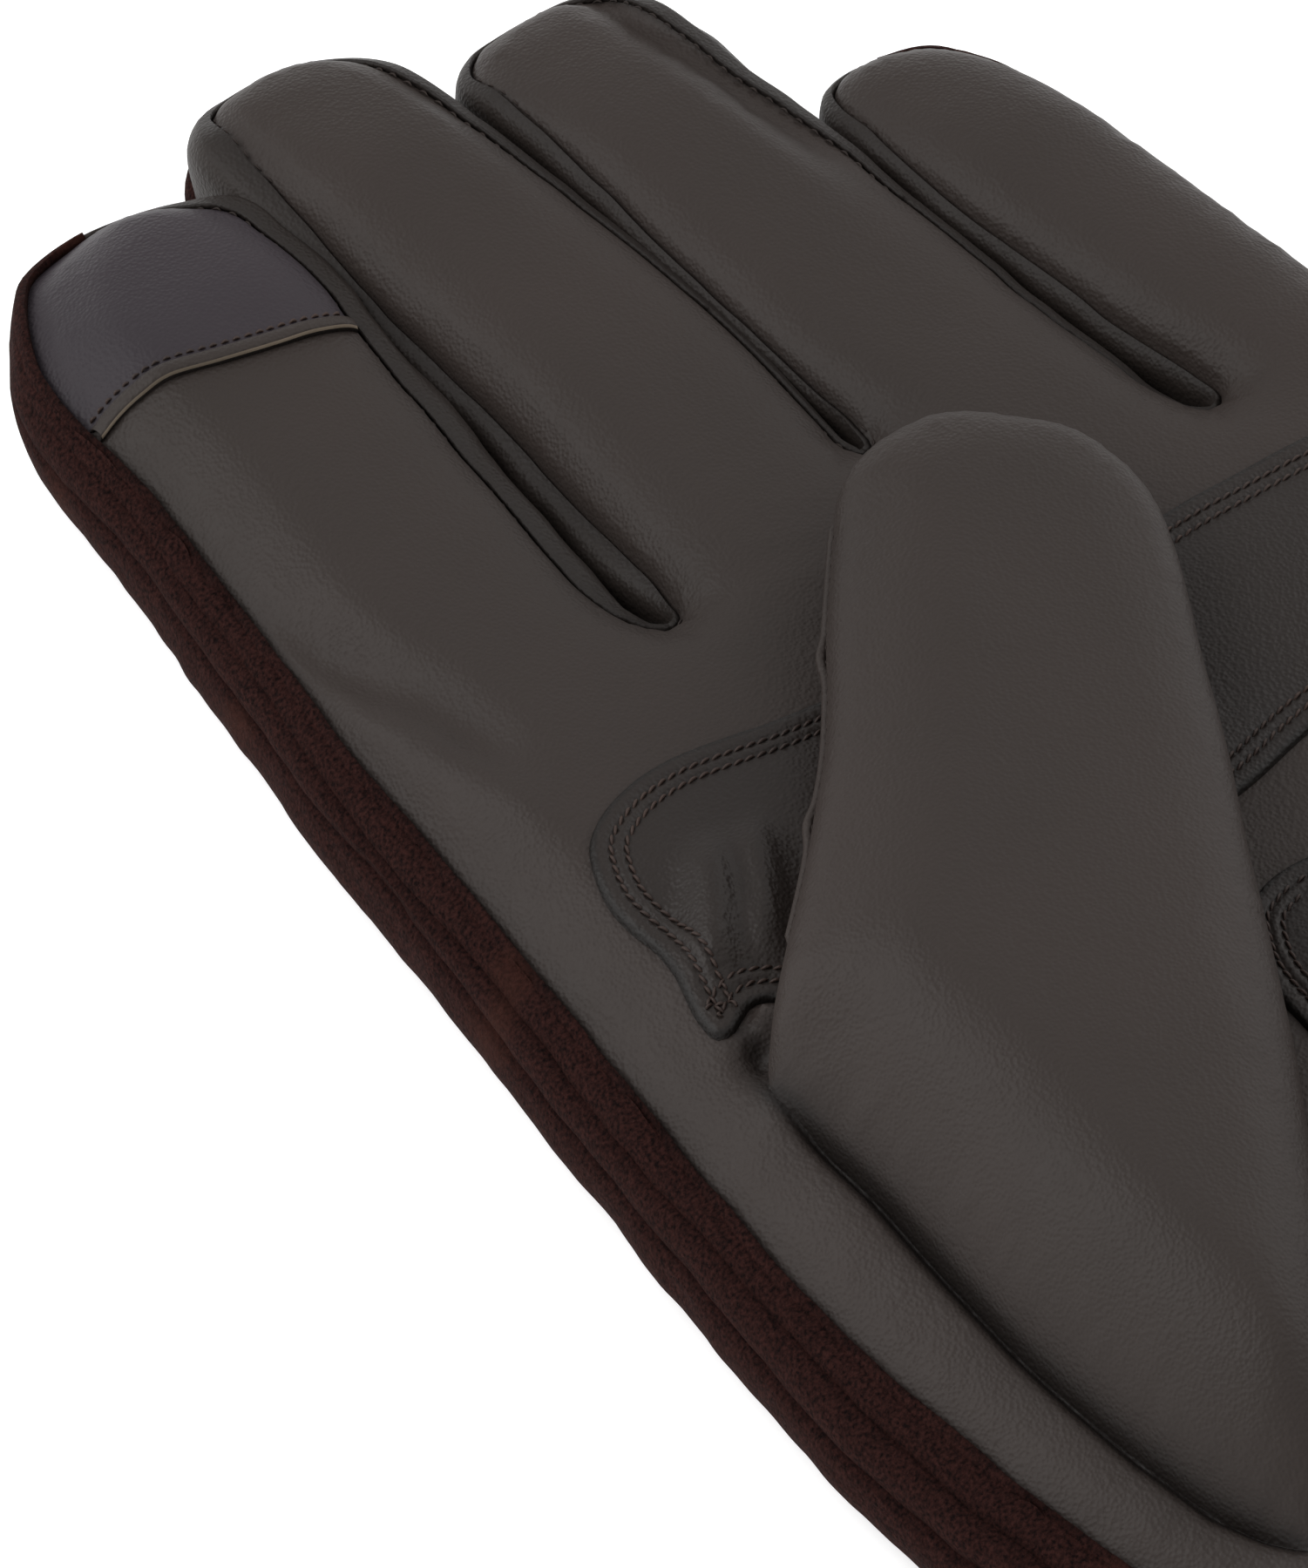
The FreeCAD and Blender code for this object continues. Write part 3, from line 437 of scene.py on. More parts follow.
def make_piece(name, V, F, N=None, UV=None, mat=None, body="hand", thick=0.0, smooth_shade=True, replaces=(),
               blend=None, shade=None):
    """A mesh object from millimetre vertices.  thick > 0 gives it that thickness inwards."""
    V = np.asarray(V, float)
    F = [tuple(int(i) for i in f) for f in F]
    used = sorted(set(i for f in F for i in f))
    remap = {o: k for k, o in enumerate(used)}
    V = V[used]
    N_ = None if N is None else np.asarray(N, float)[used]
    UV_ = None if UV is None else np.asarray(UV, float)[used]
    PAINTED_SHADE_ = np.zeros(len(used)) if shade is None else np.asarray(shade, float)[used]
    F = [tuple(remap[i] for i in f) for f in F]
    nv = len(V)
    VV, FF = V, list(F)
    tk = None
    if np.ndim(thick):
        tk = np.asarray(thick, float)[used][:, None]
        thick = 1.0
    if thick > 0:
        if N_ is None:
            N_ = vertex_normals(V, np.array([f[:3] for f in F] + [(f[0], f[2], f[3]) for f in F if len(f) == 4]))
        inner_v = V - N_ * (thick if tk is None else tk)
        inner_v[:, 2] = np.maximum(inner_v[:, 2], 0.05)
        VV = np.vstack([V, inner_v])
        FF += [tuple(i + nv for i in reversed(f)) for f in F]
        count = {}
        for f in F:
            for a, b in zip(f, f[1:] + f[:1]):
                count[(a, b)] = count.get((a, b), 0) + 1
        for (a, b) in list(count):
            if (b, a) not in count:
                FF.append((b, a, a + nv, b + nv))
    me = bpy.data.meshes.new(name)
    me.from_pydata((VV * MM).tolist(), [], FF)
    me.polygons.foreach_set("use_smooth", np.ones(len(me.polygons), bool))
    if UV_ is not None:
        uvv = np.vstack([UV_, UV_]) if thick > 0 else UV_
        layer = me.uv_layers.new(name="grain")
        li = np.zeros(len(me.loops), int)
        me.loops.foreach_get("vertex_index", li)
        layer.data.foreach_set("uv", uvv[li].astype(np.float32).ravel())
    # the "crease" attribute holds each vertex's painted shade: how far its material is darkened towards its painted
    # shade colour
    at = me.attributes.new("crease", "FLOAT", "POINT")
    at.data.foreach_set("value", (np.concatenate([PAINTED_SHADE_, PAINTED_SHADE_]) if thick > 0 else PAINTED_SHADE_).astype(np.float32))
    if N_ is not None and smooth_shade:
        nn = np.vstack([N_, -N_]) if thick > 0 else N_
        li = np.zeros(len(me.loops), int)
        me.loops.foreach_get("vertex_index", li)
        ln = nn[li].copy()
        # the thin edge keeps its own flat normal
        if thick > 0:
            for p in me.polygons:
                if p.index >= 2 * len(F):
                    for l in p.loop_indices:
                        ln[l] = 0
        me.normals_split_custom_set([tuple(v) for v in ln])
    me.update()
    ob = bpy.data.objects.new(name, me)
    bpy.context.scene.collection.objects.link(ob)
    if mat is not None:
        me.materials.append(mat)
    if replaces:
        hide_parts(*replaces)
    if blend:
        a, b, s, e = blend
        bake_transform(ob)
    else:
        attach(ob, body)
    PIECES.append(ob)
    return ob


def zone_blend(z):
    """(body or None, blend tuple or None) of zone z."""
    name, f, kind = ZONES[z]
    if f is None:
        return "hand", None
    F = FING[f]
    d3 = np.array([F["dir"][0], F["dir"][1], 0.0])
    b3 = np.array([F["base"][0], F["base"][1], 12.0])
    if kind == "a":
        s, e = b3 + d3 * F["za"][0], b3 + d3 * F["za"][1]
        return None, ("hand", f + "_base", s * MM, e * MM)
    m = b3 + d3 * F["L1"]
    s, e = m + d3 * F["zb"][0], m + d3 * F["zb"][1]
    return None, (f + "_base", f + "_end", s * MM, e * MM)


# ---------------------------------------------------------------------------
# Materials
# ---------------------------------------------------------------------------
def srgb(r, g, b):
    return tuple(((c / 255) / 12.92 if c / 255 <= 0.04045 else ((c / 255 + 0.055) / 1.055) ** 2.4) for c in (r, g, b)) + (1,)


def material(name, base, alt, rough, bumps, mix_scale=60.0, spec=0.5, sheen=0.0, sheen_tint=(1, 1, 1, 1), sheen_rough=0.4,
             rough_var=0.0, spots=None, coat=0.0, crease=None):
    """Principled material: two tones mixed by soft noise, grain as bump.  bumps = (kind, scale per metre, height m)."""
    m = bpy.data.materials.new(name)
    m.use_nodes = True
    nt = m.node_tree
    nd, ln = nt.nodes, nt.links
    b = nd["Principled BSDF"]
    tc = nd.new("ShaderNodeTexCoord")
    n1 = nd.new("ShaderNodeTexNoise")
    n1.inputs["Scale"].default_value = mix_scale
    n1.inputs["Detail"].default_value = 3
    ln.new(tc.outputs["Object"], n1.inputs["Vector"])
    ramp = nd.new("ShaderNodeMapRange")
    ramp.inputs["From Min"].default_value, ramp.inputs["From Max"].default_value = 0.32, 0.68
    ln.new(n1.outputs["Fac"], ramp.inputs["Value"])
    mix = nd.new("ShaderNodeMix")
    mix.data_type = "RGBA"
    mix.inputs["A"].default_value, mix.inputs["B"].default_value = base, alt
    ln.new(ramp.outputs["Result"], mix.inputs["Factor"])
    col = mix.outputs["Result"]
    if spots:
        n2 = nd.new("ShaderNodeTexNoise")
        n2.inputs["Scale"].default_value = spots[0]
        n2.inputs["Detail"].default_value = 4
        ln.new(tc.outputs["Object"], n2.inputs["Vector"])
        r2 = nd.new("ShaderNodeMapRange")
        r2.inputs["From Min"].default_value, r2.inputs["From Max"].default_value = spots[2], spots[3]
        ln.new(n2.outputs["Fac"], r2.inputs["Value"])
        mx = nd.new("ShaderNodeMix")
        mx.data_type = "RGBA"
        mx.inputs["B"].default_value = spots[1]
        ln.new(col, mx.inputs["A"])
        ln.new(r2.outputs["Result"], mx.inputs["Factor"])
        col = mx.outputs["Result"]
    # painted shade: the "crease" attribute mixes the colour towards the given dark painted shade colour
    if crease is not None:
        at = nd.new("ShaderNodeAttribute")
        at.attribute_name = "crease"
        mc = nd.new("ShaderNodeMix")
        mc.data_type = "RGBA"
        mc.inputs["B"].default_value = crease
        ln.new(col, mc.inputs["A"])
        ln.new(at.outputs["Fac"], mc.inputs["Factor"])
        col = mc.outputs["Result"]
    ln.new(col, b.inputs["Base Color"])
    b.inputs["Roughness"].default_value = rough
    if rough_var:
        r3 = nd.new("ShaderNodeMapRange")
        r3.inputs["To Min"].default_value, r3.inputs["To Max"].default_value = rough - rough_var, rough + rough_var
        n3 = nd.new("ShaderNodeTexNoise")
        n3.inputs["Scale"].default_value = 240
        n3.inputs["Detail"].default_value = 4
        ln.new(tc.outputs["Object"], n3.inputs["Vector"])
        ln.new(n3.outputs["Fac"], r3.inputs["Value"])
        ln.new(r3.outputs["Result"], b.inputs["Roughness"])
    b.inputs["Specular IOR Level"].default_value = spec
    b.inputs["Sheen Weight"].default_value = sheen
    b.inputs["Sheen Tint"].default_value = sheen_tint
    b.inputs["Sheen Roughness"].default_value = sheen_rough
    b.inputs["Coat Weight"].default_value = coat
    b.inputs["Coat Roughness"].default_value = 0.35
    prev = None
    for kind, scale, height in bumps:
        if kind == "noise":
            t = nd.new("ShaderNodeTexNoise")
            t.inputs["Scale"].default_value = scale
            t.inputs["Detail"].default_value = 5
            t.inputs["Roughness"].default_value = 0.6
            out = t.outputs["Fac"]
        elif kind == "cells":
            t = nd.new("ShaderNodeTexVoronoi")
            t.feature = "SMOOTH_F1"
            t.inputs["Scale"].default_value = scale
            t.inputs["Smoothness"].default_value = 0.6
            out = t.outputs["Distance"]
        else:
            t = nd.new("ShaderNodeTexWave")
            t.inputs["Scale"].default_value = scale
            t.inputs["Distortion"].default_value = 1.0
            out = t.outputs["Fac"]
        ln.new(tc.outputs["Object"], t.inputs["Vector"])
        bp = nd.new("ShaderNodeBump")
        bp.inputs["Strength"].default_value = 1.0
        bp.inputs["Distance"].default_value = height
        ln.new(out, bp.inputs["Height"])
        if prev is not None:
            ln.new(prev, bp.inputs["Normal"])
        prev = bp.outputs["Normal"]
    if prev is not None:
        ln.new(prev, b.inputs["Normal"])
    return m


GRAIN = [("noise", 1100, 0.000034), ("cells", 2500, 0.000085), ("noise", 520, 0.000011)]
# crease= is each material's painted shade colour, mixed in by the "crease" attribute
LEATHER = material("leather", srgb(50, 43, 40), srgb(46, 40, 37), 0.53, GRAIN, mix_scale=26, spec=0.19, rough_var=0.04,
                   crease=srgb(26, 22, 20))
TOUCH = material("touch_leather", srgb(50, 44, 48), srgb(46, 41, 45), 0.53, GRAIN, mix_scale=26, spec=0.19, rough_var=0.04)
PATCHM = material("patch_leather", srgb(37, 31, 28), srgb(33, 28, 26), 0.46, GRAIN, mix_scale=26, spec=0.21, rough_var=0.04,
                  crease=srgb(20, 17, 15))
CUT = material("leather_cut_edge", srgb(112, 100, 86), srgb(88, 78, 66), 0.6, [("noise", 900, 0.00006)], spec=0.3)
FOURCH = material("fourchette_leather", srgb(43, 37, 34), srgb(39, 34, 31), 0.53, GRAIN, mix_scale=26, spec=0.18, rough_var=0.04,
                  crease=srgb(20, 17, 16))
SUEDE = material("suede", srgb(13, 6, 6), srgb(49, 27, 24), 0.95, [("noise", 3200, 0.00030), ("noise", 1100, 0.00018)],
                 mix_scale=2600, spec=0.06, sheen=0.08, sheen_tint=srgb(120, 80, 70), sheen_rough=0.5,
                 spots=(60, srgb(58, 33, 26), 0.58, 0.80), crease=srgb(5, 2, 2))
LINING = material("knit_lining", srgb(58, 50, 46), srgb(48, 42, 38), 0.9, [("waves", 900, 0.0002), ("noise", 1500, 0.0001)],
                  spec=0.2, sheen=0.2)
THREAD = material("thread", srgb(58, 42, 35), srgb(40, 29, 25), 0.6, [("noise", 4000, 0.00008)], spec=0.35)
DARK = material("seam_thread", srgb(44, 35, 31), srgb(36, 28, 25), 0.7, [("noise", 4000, 0.00008)], spec=0.25)
HEM = material("hem_leather", srgb(58, 50, 45), srgb(50, 43, 39), 0.5, [("noise", 320, 0.00010), ("cells", 1300, 0.00005)],
               spec=0.4)
ELASTIC = material("woven_elastic", srgb(40, 36, 34), srgb(30, 27, 26), 0.85, [("waves", 1400, 0.0003)], spec=0.2)

# ---------------------------------------------------------------------------
# Palm leather
# ---------------------------------------------------------------------------
CUFF_Y = -125.4


def cuff_row(step=1.3):
    xs = np.arange(T[-1, 0] - step, T[0, 0] + step * 0.5, -step)
    return np.stack([xs, np.full(len(xs), CUFF_Y)], 1)


def cdt(loop, pts, chain=None):
    n = len(loop)
    allp = [loop, pts] + ([chain] if chain is not None else [])
    vs = [Vector((float(a), float(b))) for p in allp for a, b in p[:, :2]]
    edges = [(i, (i + 1) % n) for i in range(n)]
    if chain is not None:
        k0 = n + len(pts)
        edges += [(k0 + i, k0 + i + 1) for i in range(len(chain) - 1)]
    r = delaunay_2d_cdt(vs, edges, [list(range(n))], 1, 1e-5, True)
    vo = np.array([(v.x, v.y) for v in r[0]])
    F = np.array([list(f) for f in r[2] if len(f) == 3], int)
    a, b, c = vo[F[:, 0]], vo[F[:, 1]], vo[F[:, 2]]
    area = (b[:, 0] - a[:, 0]) * (c[:, 1] - a[:, 1]) - (b[:, 1] - a[:, 1]) * (c[:, 0] - a[:, 0])
    F[area < 0] = F[area < 0][:, ::-1]
    cc = vo[F].mean(1)
    F = F[(np.abs(area) > 1e-7) & inside(cc[:, 0], cc[:, 1], loop)]
    orig = np.array([o[0] if len(o) else -1 for o in r[3]])
    return vo, F, orig


crow = cuff_row()
loop = np.vstack([T[:, :2], crow])
rows = []
for d in (0.4, 0.9, 1.5, 2.2, 3.0):
    p = T[:, :2] - NRM * d
    rows.append(p[:: (1 if d < 1.2 else 2)])
rows = np.vstack(rows)
rows = rows[inside(rows[:, 0], rows[:, 1], loop)]
dr, _ = nearest_rim(rows[:, 0], rows[:, 1])
keep = np.zeros(len(rows), bool)
for d in (0.4, 0.9, 1.5, 2.2, 3.0):
    keep |= np.abs(dr - d) < 0.1
rows = rows[keep & (rows[:, 1] > CUFF_Y + 0.3)]
hexp = hex_points(loop, 1.45, 0)
dh, _ = nearest_rim(hexp[:, 0], hexp[:, 1])
hexp = hexp[(dh > 3.6) & (hexp[:, 1] > CUFF_Y + 0.6)]
free = np.vstack([rows, hexp])
seamline = spline(TIPSEAM, 0.7)[:, :2]
ds, _ = nearest_rim(seamline[:, 0], seamline[:, 1])
seamline = seamline[inside(seamline[:, 0], seamline[:, 1], loop) & (ds > 0.25)]
crl = spline(CREASE, 0.6)[:, :2]
ct = np.gradient(crl, axis=0)
ct /= np.linalg.norm(ct, axis=1)[:, None]
cn = np.stack([-ct[:, 1], ct[:, 0]], 1)
dcf, _, _ = seg_dist(free[:, 0], free[:, 1], crl)
free = np.vstack([free[dcf > 2.5]] + [crl + cn * o for o in (-2.0, -1.5, -1.05, -0.7, -0.35, 0, 0.35, 0.7, 1.05, 1.5, 2.0)])
gx, gy = np.meshgrid(np.arange(-42.6, -35.4, 0.5), np.arange(-1.9, 4.6, 0.5), indexing="ij")
gp = np.stack([gx.ravel(), gy.ravel()], 1)
gp = gp[seg_dist(gp[:, 0], gp[:, 1], crl)[0] > 2.3]
free = free[~((free[:, 0] > -42.9) & (free[:, 0] < -35.2) & (free[:, 1] > -2.2) & (free[:, 1] < 4.7)
              & (seg_dist(free[:, 0], free[:, 1], crl)[0] > 2.2))]
free = np.vstack([free, gp])
dc, _, _ = seg_dist(free[:, 0], free[:, 1], seamline)
free = free[dc > 0.4]
V2, F2, ORG = cdt(loop, free, seamline)
dP, zP = nearest_rim(V2[:, 0], V2[:, 1])
zV = palm_z(V2[:, 0], V2[:, 1], dP, zP)
onrim = (ORG >= 0) & (ORG < NR)
zV[onrim] = T[ORG[onrim], 2]
TOPV = np.column_stack([V2, zV])
# settle the lattice a little, the edges stay
adj_a = np.concatenate([F2[:, [0, 1]], F2[:, [1, 2]], F2[:, [2, 0]]])
adj = np.vstack([adj_a, adj_a[:, ::-1]])
for _ in range(2):
    s = np.zeros(len(TOPV))
    c = np.zeros(len(TOPV))
    np.add.at(s, adj[:, 0], TOPV[adj[:, 1], 2])
    np.add.at(c, adj[:, 0], 1)
    z = s / np.maximum(c, 1)
    move = ~onrim & (dP > 0.7) & (seg_dist(V2[:, 0], V2[:, 1], CREASE)[0] > 2.4) & (seg_dist(V2[:, 0], V2[:, 1], NIP)[0] > 3.0)
    TOPV[move, 2] = 0.6 * TOPV[move, 2] + 0.4 * z[move]
TOPN = vertex_normals(TOPV, F2)
cen = TOPV[F2].mean(1)
fz = zone_of(cen[:, 0], cen[:, 1])
_, seam_side, _ = seg_dist(cen[:, 0], cen[:, 1], spline(TIPSEAM, 2.0)[:, :2])
istip = (fz == 2) & (seam_side > 0)

# painted shade on the palm leather: a dark line just inside the seams, along the thumb's crease and in the nook under
# the thumb's corner
dcr, _, _ = seg_dist(V2[:, 0], V2[:, 1], CREASE)
dnk, _, _ = seg_dist(V2[:, 0], V2[:, 1], NOOK)
rim_painted_shade = 0.45 * smooth(0.5, 0.0, dP) * (V2[:, 1] > -120) * (1 - smooth(40, 46, V2[:, 0])) * smooth(8.6, 9.8, zP)
TOP_PAINTED_SHADE = np.maximum(rim_painted_shade, np.maximum(np.minimum(1, 0.95 * np.exp(-(dcr / 0.75) ** 2) + 0.22 * np.exp(-(dcr / 2.2) ** 2)),
                                     0.65 * np.exp(-(dnk / 1.7) ** 2)))
for z, (zn, f, kind) in enumerate(ZONES):
    body, bl = zone_blend(z)
    m = (fz == z) & ~istip
    node = {"hand": "palm_leather"}.get(zn, zn + "_leather")
    make_piece("palm_shell_" + zn, TOPV, F2[m], TOPN, V2, LEATHER, body=body, blend=bl, thick=1.0, replaces=(node,),
               shade=TOP_PAINTED_SHADE)
body, bl = zone_blend(2)
make_piece("touch_tip_shell", TOPV, F2[istip], TOPN, V2, TOUCH, body=body, blend=bl, thick=1.0,
           replaces=("index_touch_tip",))

# ---------------------------------------------------------------------------
# Sides and back
# ---------------------------------------------------------------------------
NF, N1, N2 = 9, 27, 6


def side_profiles():
    W, B, zT = RW, RB, T[:, 2]
    out = np.zeros((NR, NF + 1 + N1 + N2, 2))
    z0 = (1 - B) * 3.2 + B * (zT - 0.75)
    u0 = (1 - B) * np.maximum(W - 0.5, 0.05) + B * 0.35
    t = (np.linspace(0, 1, NF + 1) ** 1.5)[None, :]
    dep = (zT - z0)[:, None] * t
    Wf = (W * (1 - B) + 0.3 * B)[:, None]
    s = np.clip(dep / np.minimum(3.0, (zT - z0))[:, None], 0, 1)
    u = Wf * (1 - (1 - s) ** 2.5) ** (1 / 2.5)
    e = smooth(0.45, 1.0, t)
    u = u + (u0[:, None] - Wf) * e
    zz = zT[:, None] - dep
    out[:, :NF + 1, 0], out[:, :NF + 1, 1] = u, zz
    # suede: rounds out from its seam, over the widest place and under
    zm = 2.0 + 2.5 * B
    W2 = np.maximum(W, 0.25)
    a = np.linspace(0, np.pi / 2, N1 + 1)[None, 1:]
    n = 2.0 - 0.15 * B[:, None]
    uu = u0[:, None] + (W2 - u0)[:, None] * np.sin(a) ** (2 / n)
    z1 = zm[:, None] + (z0 - zm)[:, None] * np.cos(a) ** (2 / n)
    out[:, NF + 1:NF + 1 + N1, 0], out[:, NF + 1:NF + 1 + N1, 1] = uu, z1
    b = np.linspace(0, np.pi / 2, N2 + 1)[None, 1:]
    R = 2.4 + 2.9 * B
    out[:, NF + 1 + N1:, 0] = W2[:, None] - R[:, None] * (1 - np.cos(b))
    out[:, NF + 1 + N1:, 1] = zm[:, None] * (1 - np.sin(b)) + 0.03
    return out


PR = side_profiles()
# painted shade on the side strips: a dark line in the rows just below the seam, left off on the far side
SIDE_PAINTED_SHADE = np.zeros(PR.shape[:2])
far_side = np.maximum(smooth(46, 54, T[:, 0]), smooth(9.6, 8.6, T[:, 2]) * (T[:, 1] > 60))
SIDE_PAINTED_SHADE[:, 0] = 0.45 * (1 - far_side)
SIDE_PAINTED_SHADE[:, 1] = 0.22 * (1 - far_side)
M = PR.shape[1]
# two long folds in the suede along the index side, deeper and shallower as they go, with painted shade in their grooves
yy = T[:, 1]
left = (T[:, 0] < 0) & (np.arange(NR) < NR // 2) & (RB > 0.8) & (yy < 118)
for i in np.nonzero(left)[0]:
    W = RW[i]
    if W < 1.0:
        continue
    y = yy[i]
    k = np.clip(W / 6.0, 0.25, 1.2)
    # fraction along the round (0 at the seam, 1 at the widest place)
    q = np.linspace(0, 1, N1)
    c1 = 0.34 + 0.05 * math.sin(y / 17.0) + 0.03 * math.sin(y / 6.1 + 1)
    c2 = 0.66 + 0.05 * math.sin(y / 21.0 + 2) + 0.03 * math.sin(y / 7.7)
    g1 = 0.62 * k * (0.45 + 0.55 * smooth(62, 40, y)) * smooth(112, 90, y)
    g2 = 0.75 * k * smooth(117, 108, y)
    e1, e2 = np.exp(-((q - c1) / 0.06) ** 2), np.exp(-((q - c2) / 0.058) ** 2)
    # painted shade in the two fold grooves
    SIDE_PAINTED_SHADE[i, NF + 1:NF + 1 + N1] = np.clip(0.95 * e1 * min(1, g1 / 0.4) + 0.95 * e2 * min(1, g2 / 0.4), 0, 1)
    dd = -1.9 * g1 * e1 - 1.9 * g2 * e2 \
        + 0.30 * k * np.exp(-((q - (c1 + c2) / 2) / 0.11) ** 2) + 0.2 * k * np.exp(-((q - 0.16) / 0.1) ** 2)
    u, zc = PR[i, NF + 1:NF + 1 + N1, 0], PR[i, NF + 1:NF + 1 + N1, 1]
    du, dz = np.gradient(u), np.gradient(zc)
    L = np.hypot(du, dz) + 1e-9
    PR[i, NF + 1:NF + 1 + N1, 0] += dd * (-dz / L)
    PR[i, NF + 1:NF + 1 + N1, 1] += dd * (du / L)
# soft unevenness on every side wall
uneven = np.zeros((NR, M))
for j in range(2, M - 5):
    uneven[:, j] = 0.16 * noise2(SARC, SARC * 0 + j * 0.55, 6.5, 21) + 0.07 * noise2(SARC, SARC * 0 + j * 0.8, 2.6, 22)
PR[:, :, 0] += uneven * np.clip(RW, 0.15, 1.6)[:, None] * 0.8
SIDE = np.zeros((NR, M, 3))
SIDE[:, :, 0] = T[:, None, 0] + NRM[:, None, 0] * PR[:, :, 0]
SIDE[:, :, 1] = T[:, None, 1] + NRM[:, None, 1] * PR[:, :, 0]
SIDE[:, :, 2] = PR[:, :, 1]
SIDE[0, :, 1] = CUFF_Y
SIDE[-1, :, 1] = CUFF_Y

bloop = np.vstack([SIDE[:, -1, :2], crow])
bh = hex_points(bloop, 2.6, 0)
db, _, _ = seg_dist(bh[:, 0], bh[:, 1], bloop[::3], True)
bh = bh[db > 1.6]
VB, FB, OB = cdt(bloop, bh)
BV = np.column_stack([VB, np.full(len(VB), 0.03)])
# shared vertices between the side strip and the back
nS = NR * M
index_b = np.arange(len(BV)) + nS
mrim = (OB >= 0) & (OB < NR)
index_b[mrim] = OB[mrim] * M + (M - 1)
VALL = np.vstack([SIDE.reshape(-1, 3), BV])
FBK = index_b[FB][:, ::-1]
qi, qj = np.meshgrid(np.arange(NR - 1), np.arange(M - 1), indexing="ij")
qi, qj = qi.ravel(), qj.ravel()
# going up the left side with the outside to the left: i, j -> quad faces outwards
QS = np.stack([qi * M + qj, qi * M + qj + 1, (qi + 1) * M + qj + 1, (qi + 1) * M + qj], 1)
is_f = (qj < NF) & (np.minimum(RB[qi], RB[qi + 1]) < 0.6)
rz = zone_of(T[:, 0] - NRM[:, 0] * 0.4, T[:, 1] - NRM[:, 1] * 0.4)
qz = rz[qi]
cb = BV[FB].mean(1)
bz = zone_of(cb[:, 0], cb[:, 1])
UVS = np.vstack([np.stack([np.repeat(SARC, M), np.tile(np.arange(M) * 0.6, NR)], 1), BV[:, :2]])


def tri(q):
    return np.vstack([q[:, [0, 1, 2]], q[:, [0, 2, 3]]])


SIDE_BACK_PAINTED_SHADE = np.concatenate([SIDE_PAINTED_SHADE.ravel(), np.zeros(len(BV))])
NSU = vertex_normals(VALL, np.vstack([tri(QS[~is_f]), FBK]))
NFO = vertex_normals(VALL, tri(QS[is_f]))
rootless = []
web_names = ["index_middle_fourchette_root", "middle_ring_fourchette_root", "ring_little_fourchette_root"]
for z, (zn, f, kind) in enumerate(ZONES):
    body, bl = zone_blend(z)
    faces = [tuple(q) for q in QS[(qz == z) & ~is_f]] + [tuple(t) for t in FBK[bz == z]]
    node = "back_suede" if zn == "hand" else zn + "_suede"
    make_piece("back_shell_" + zn, VALL, faces, NSU, UVS, SUEDE, body=body, blend=bl, thick=1.0, replaces=(node,),
               shade=SIDE_BACK_PAINTED_SHADE)
    mf = (qz == z) & is_f
    if zn == "hand":
        mid = T[qi, :2]
        near = np.stack([np.hypot(mid[:, 0] - wx, mid[:, 1] - wy) for wx, wy in WEBS], 1).argmin(1)
        for k, wn in enumerate(web_names):
            mk = mf & (near == k)
            if mk.any():
                make_piece("web_" + wn, VALL, QS[mk], NFO, UVS, FOURCH, body="hand", thick=0.7, replaces=(wn,),
                           shade=SIDE_BACK_PAINTED_SHADE)
            else:
                rootless.append(wn)
    else:
        extra = [w for w in rootless if w.startswith(f + "_") and kind == "a"]
        make_piece("side_" + zn + "_fourchette", VALL, QS[mf], NFO, UVS, FOURCH, body=body, blend=bl, thick=0.7,
                   replaces=[zn + "_fourchette"] + extra, shade=SIDE_BACK_PAINTED_SHADE)

# ---------------------------------------------------------------------------
# Swept and sewn details
# ---------------------------------------------------------------------------
def grid_faces(n, m, close_m=False):
    i, j = np.meshgrid(np.arange(n - 1), np.arange(m if close_m else m - 1), indexing="ij")
    i, j = i.ravel(), j.ravel()
    k = (j + 1) % m
    return np.stack([i * m + j, i * m + k, (i + 1) * m + k, (i + 1) * m + j], 1)


def tube(path, radius, sides=8, squash_z=1.0):
    """Closed tube along (n, 3) points, with rounded ends."""
    path = np.asarray(path, float)
    d = np.gradient(path, axis=0)
    d /= np.linalg.norm(d, axis=1)[:, None]
    side = np.cross(d, (0, 0, 1.0))
    side /= np.linalg.norm(side, axis=1)[:, None] + 1e-9
    up = np.cross(side, d)
    r = np.full(len(path), radius)
    s = arc_len(path)
    e = np.minimum(s, s[-1] - s)
    r = radius * np.sqrt(np.clip(1 - (1 - np.clip(e / radius, 0, 1)) ** 2, 0.02, 1))
    a = np.linspace(0, 2 * np.pi, sides, endpoint=False)
    V = path[:, None] + side[:, None] * (np.cos(a)[None, :, None] * r[:, None, None]) \
        + up[:, None] * (np.sin(a)[None, :, None] * r[:, None, None] * squash_z)
    V = V.reshape(-1, 3)
    F = [tuple(q[::-1]) for q in grid_faces(len(path), sides, True)]
    F += [tuple(range(sides)), tuple(range(len(V) - 1, len(V) - sides - 1, -1))]
    return V, F


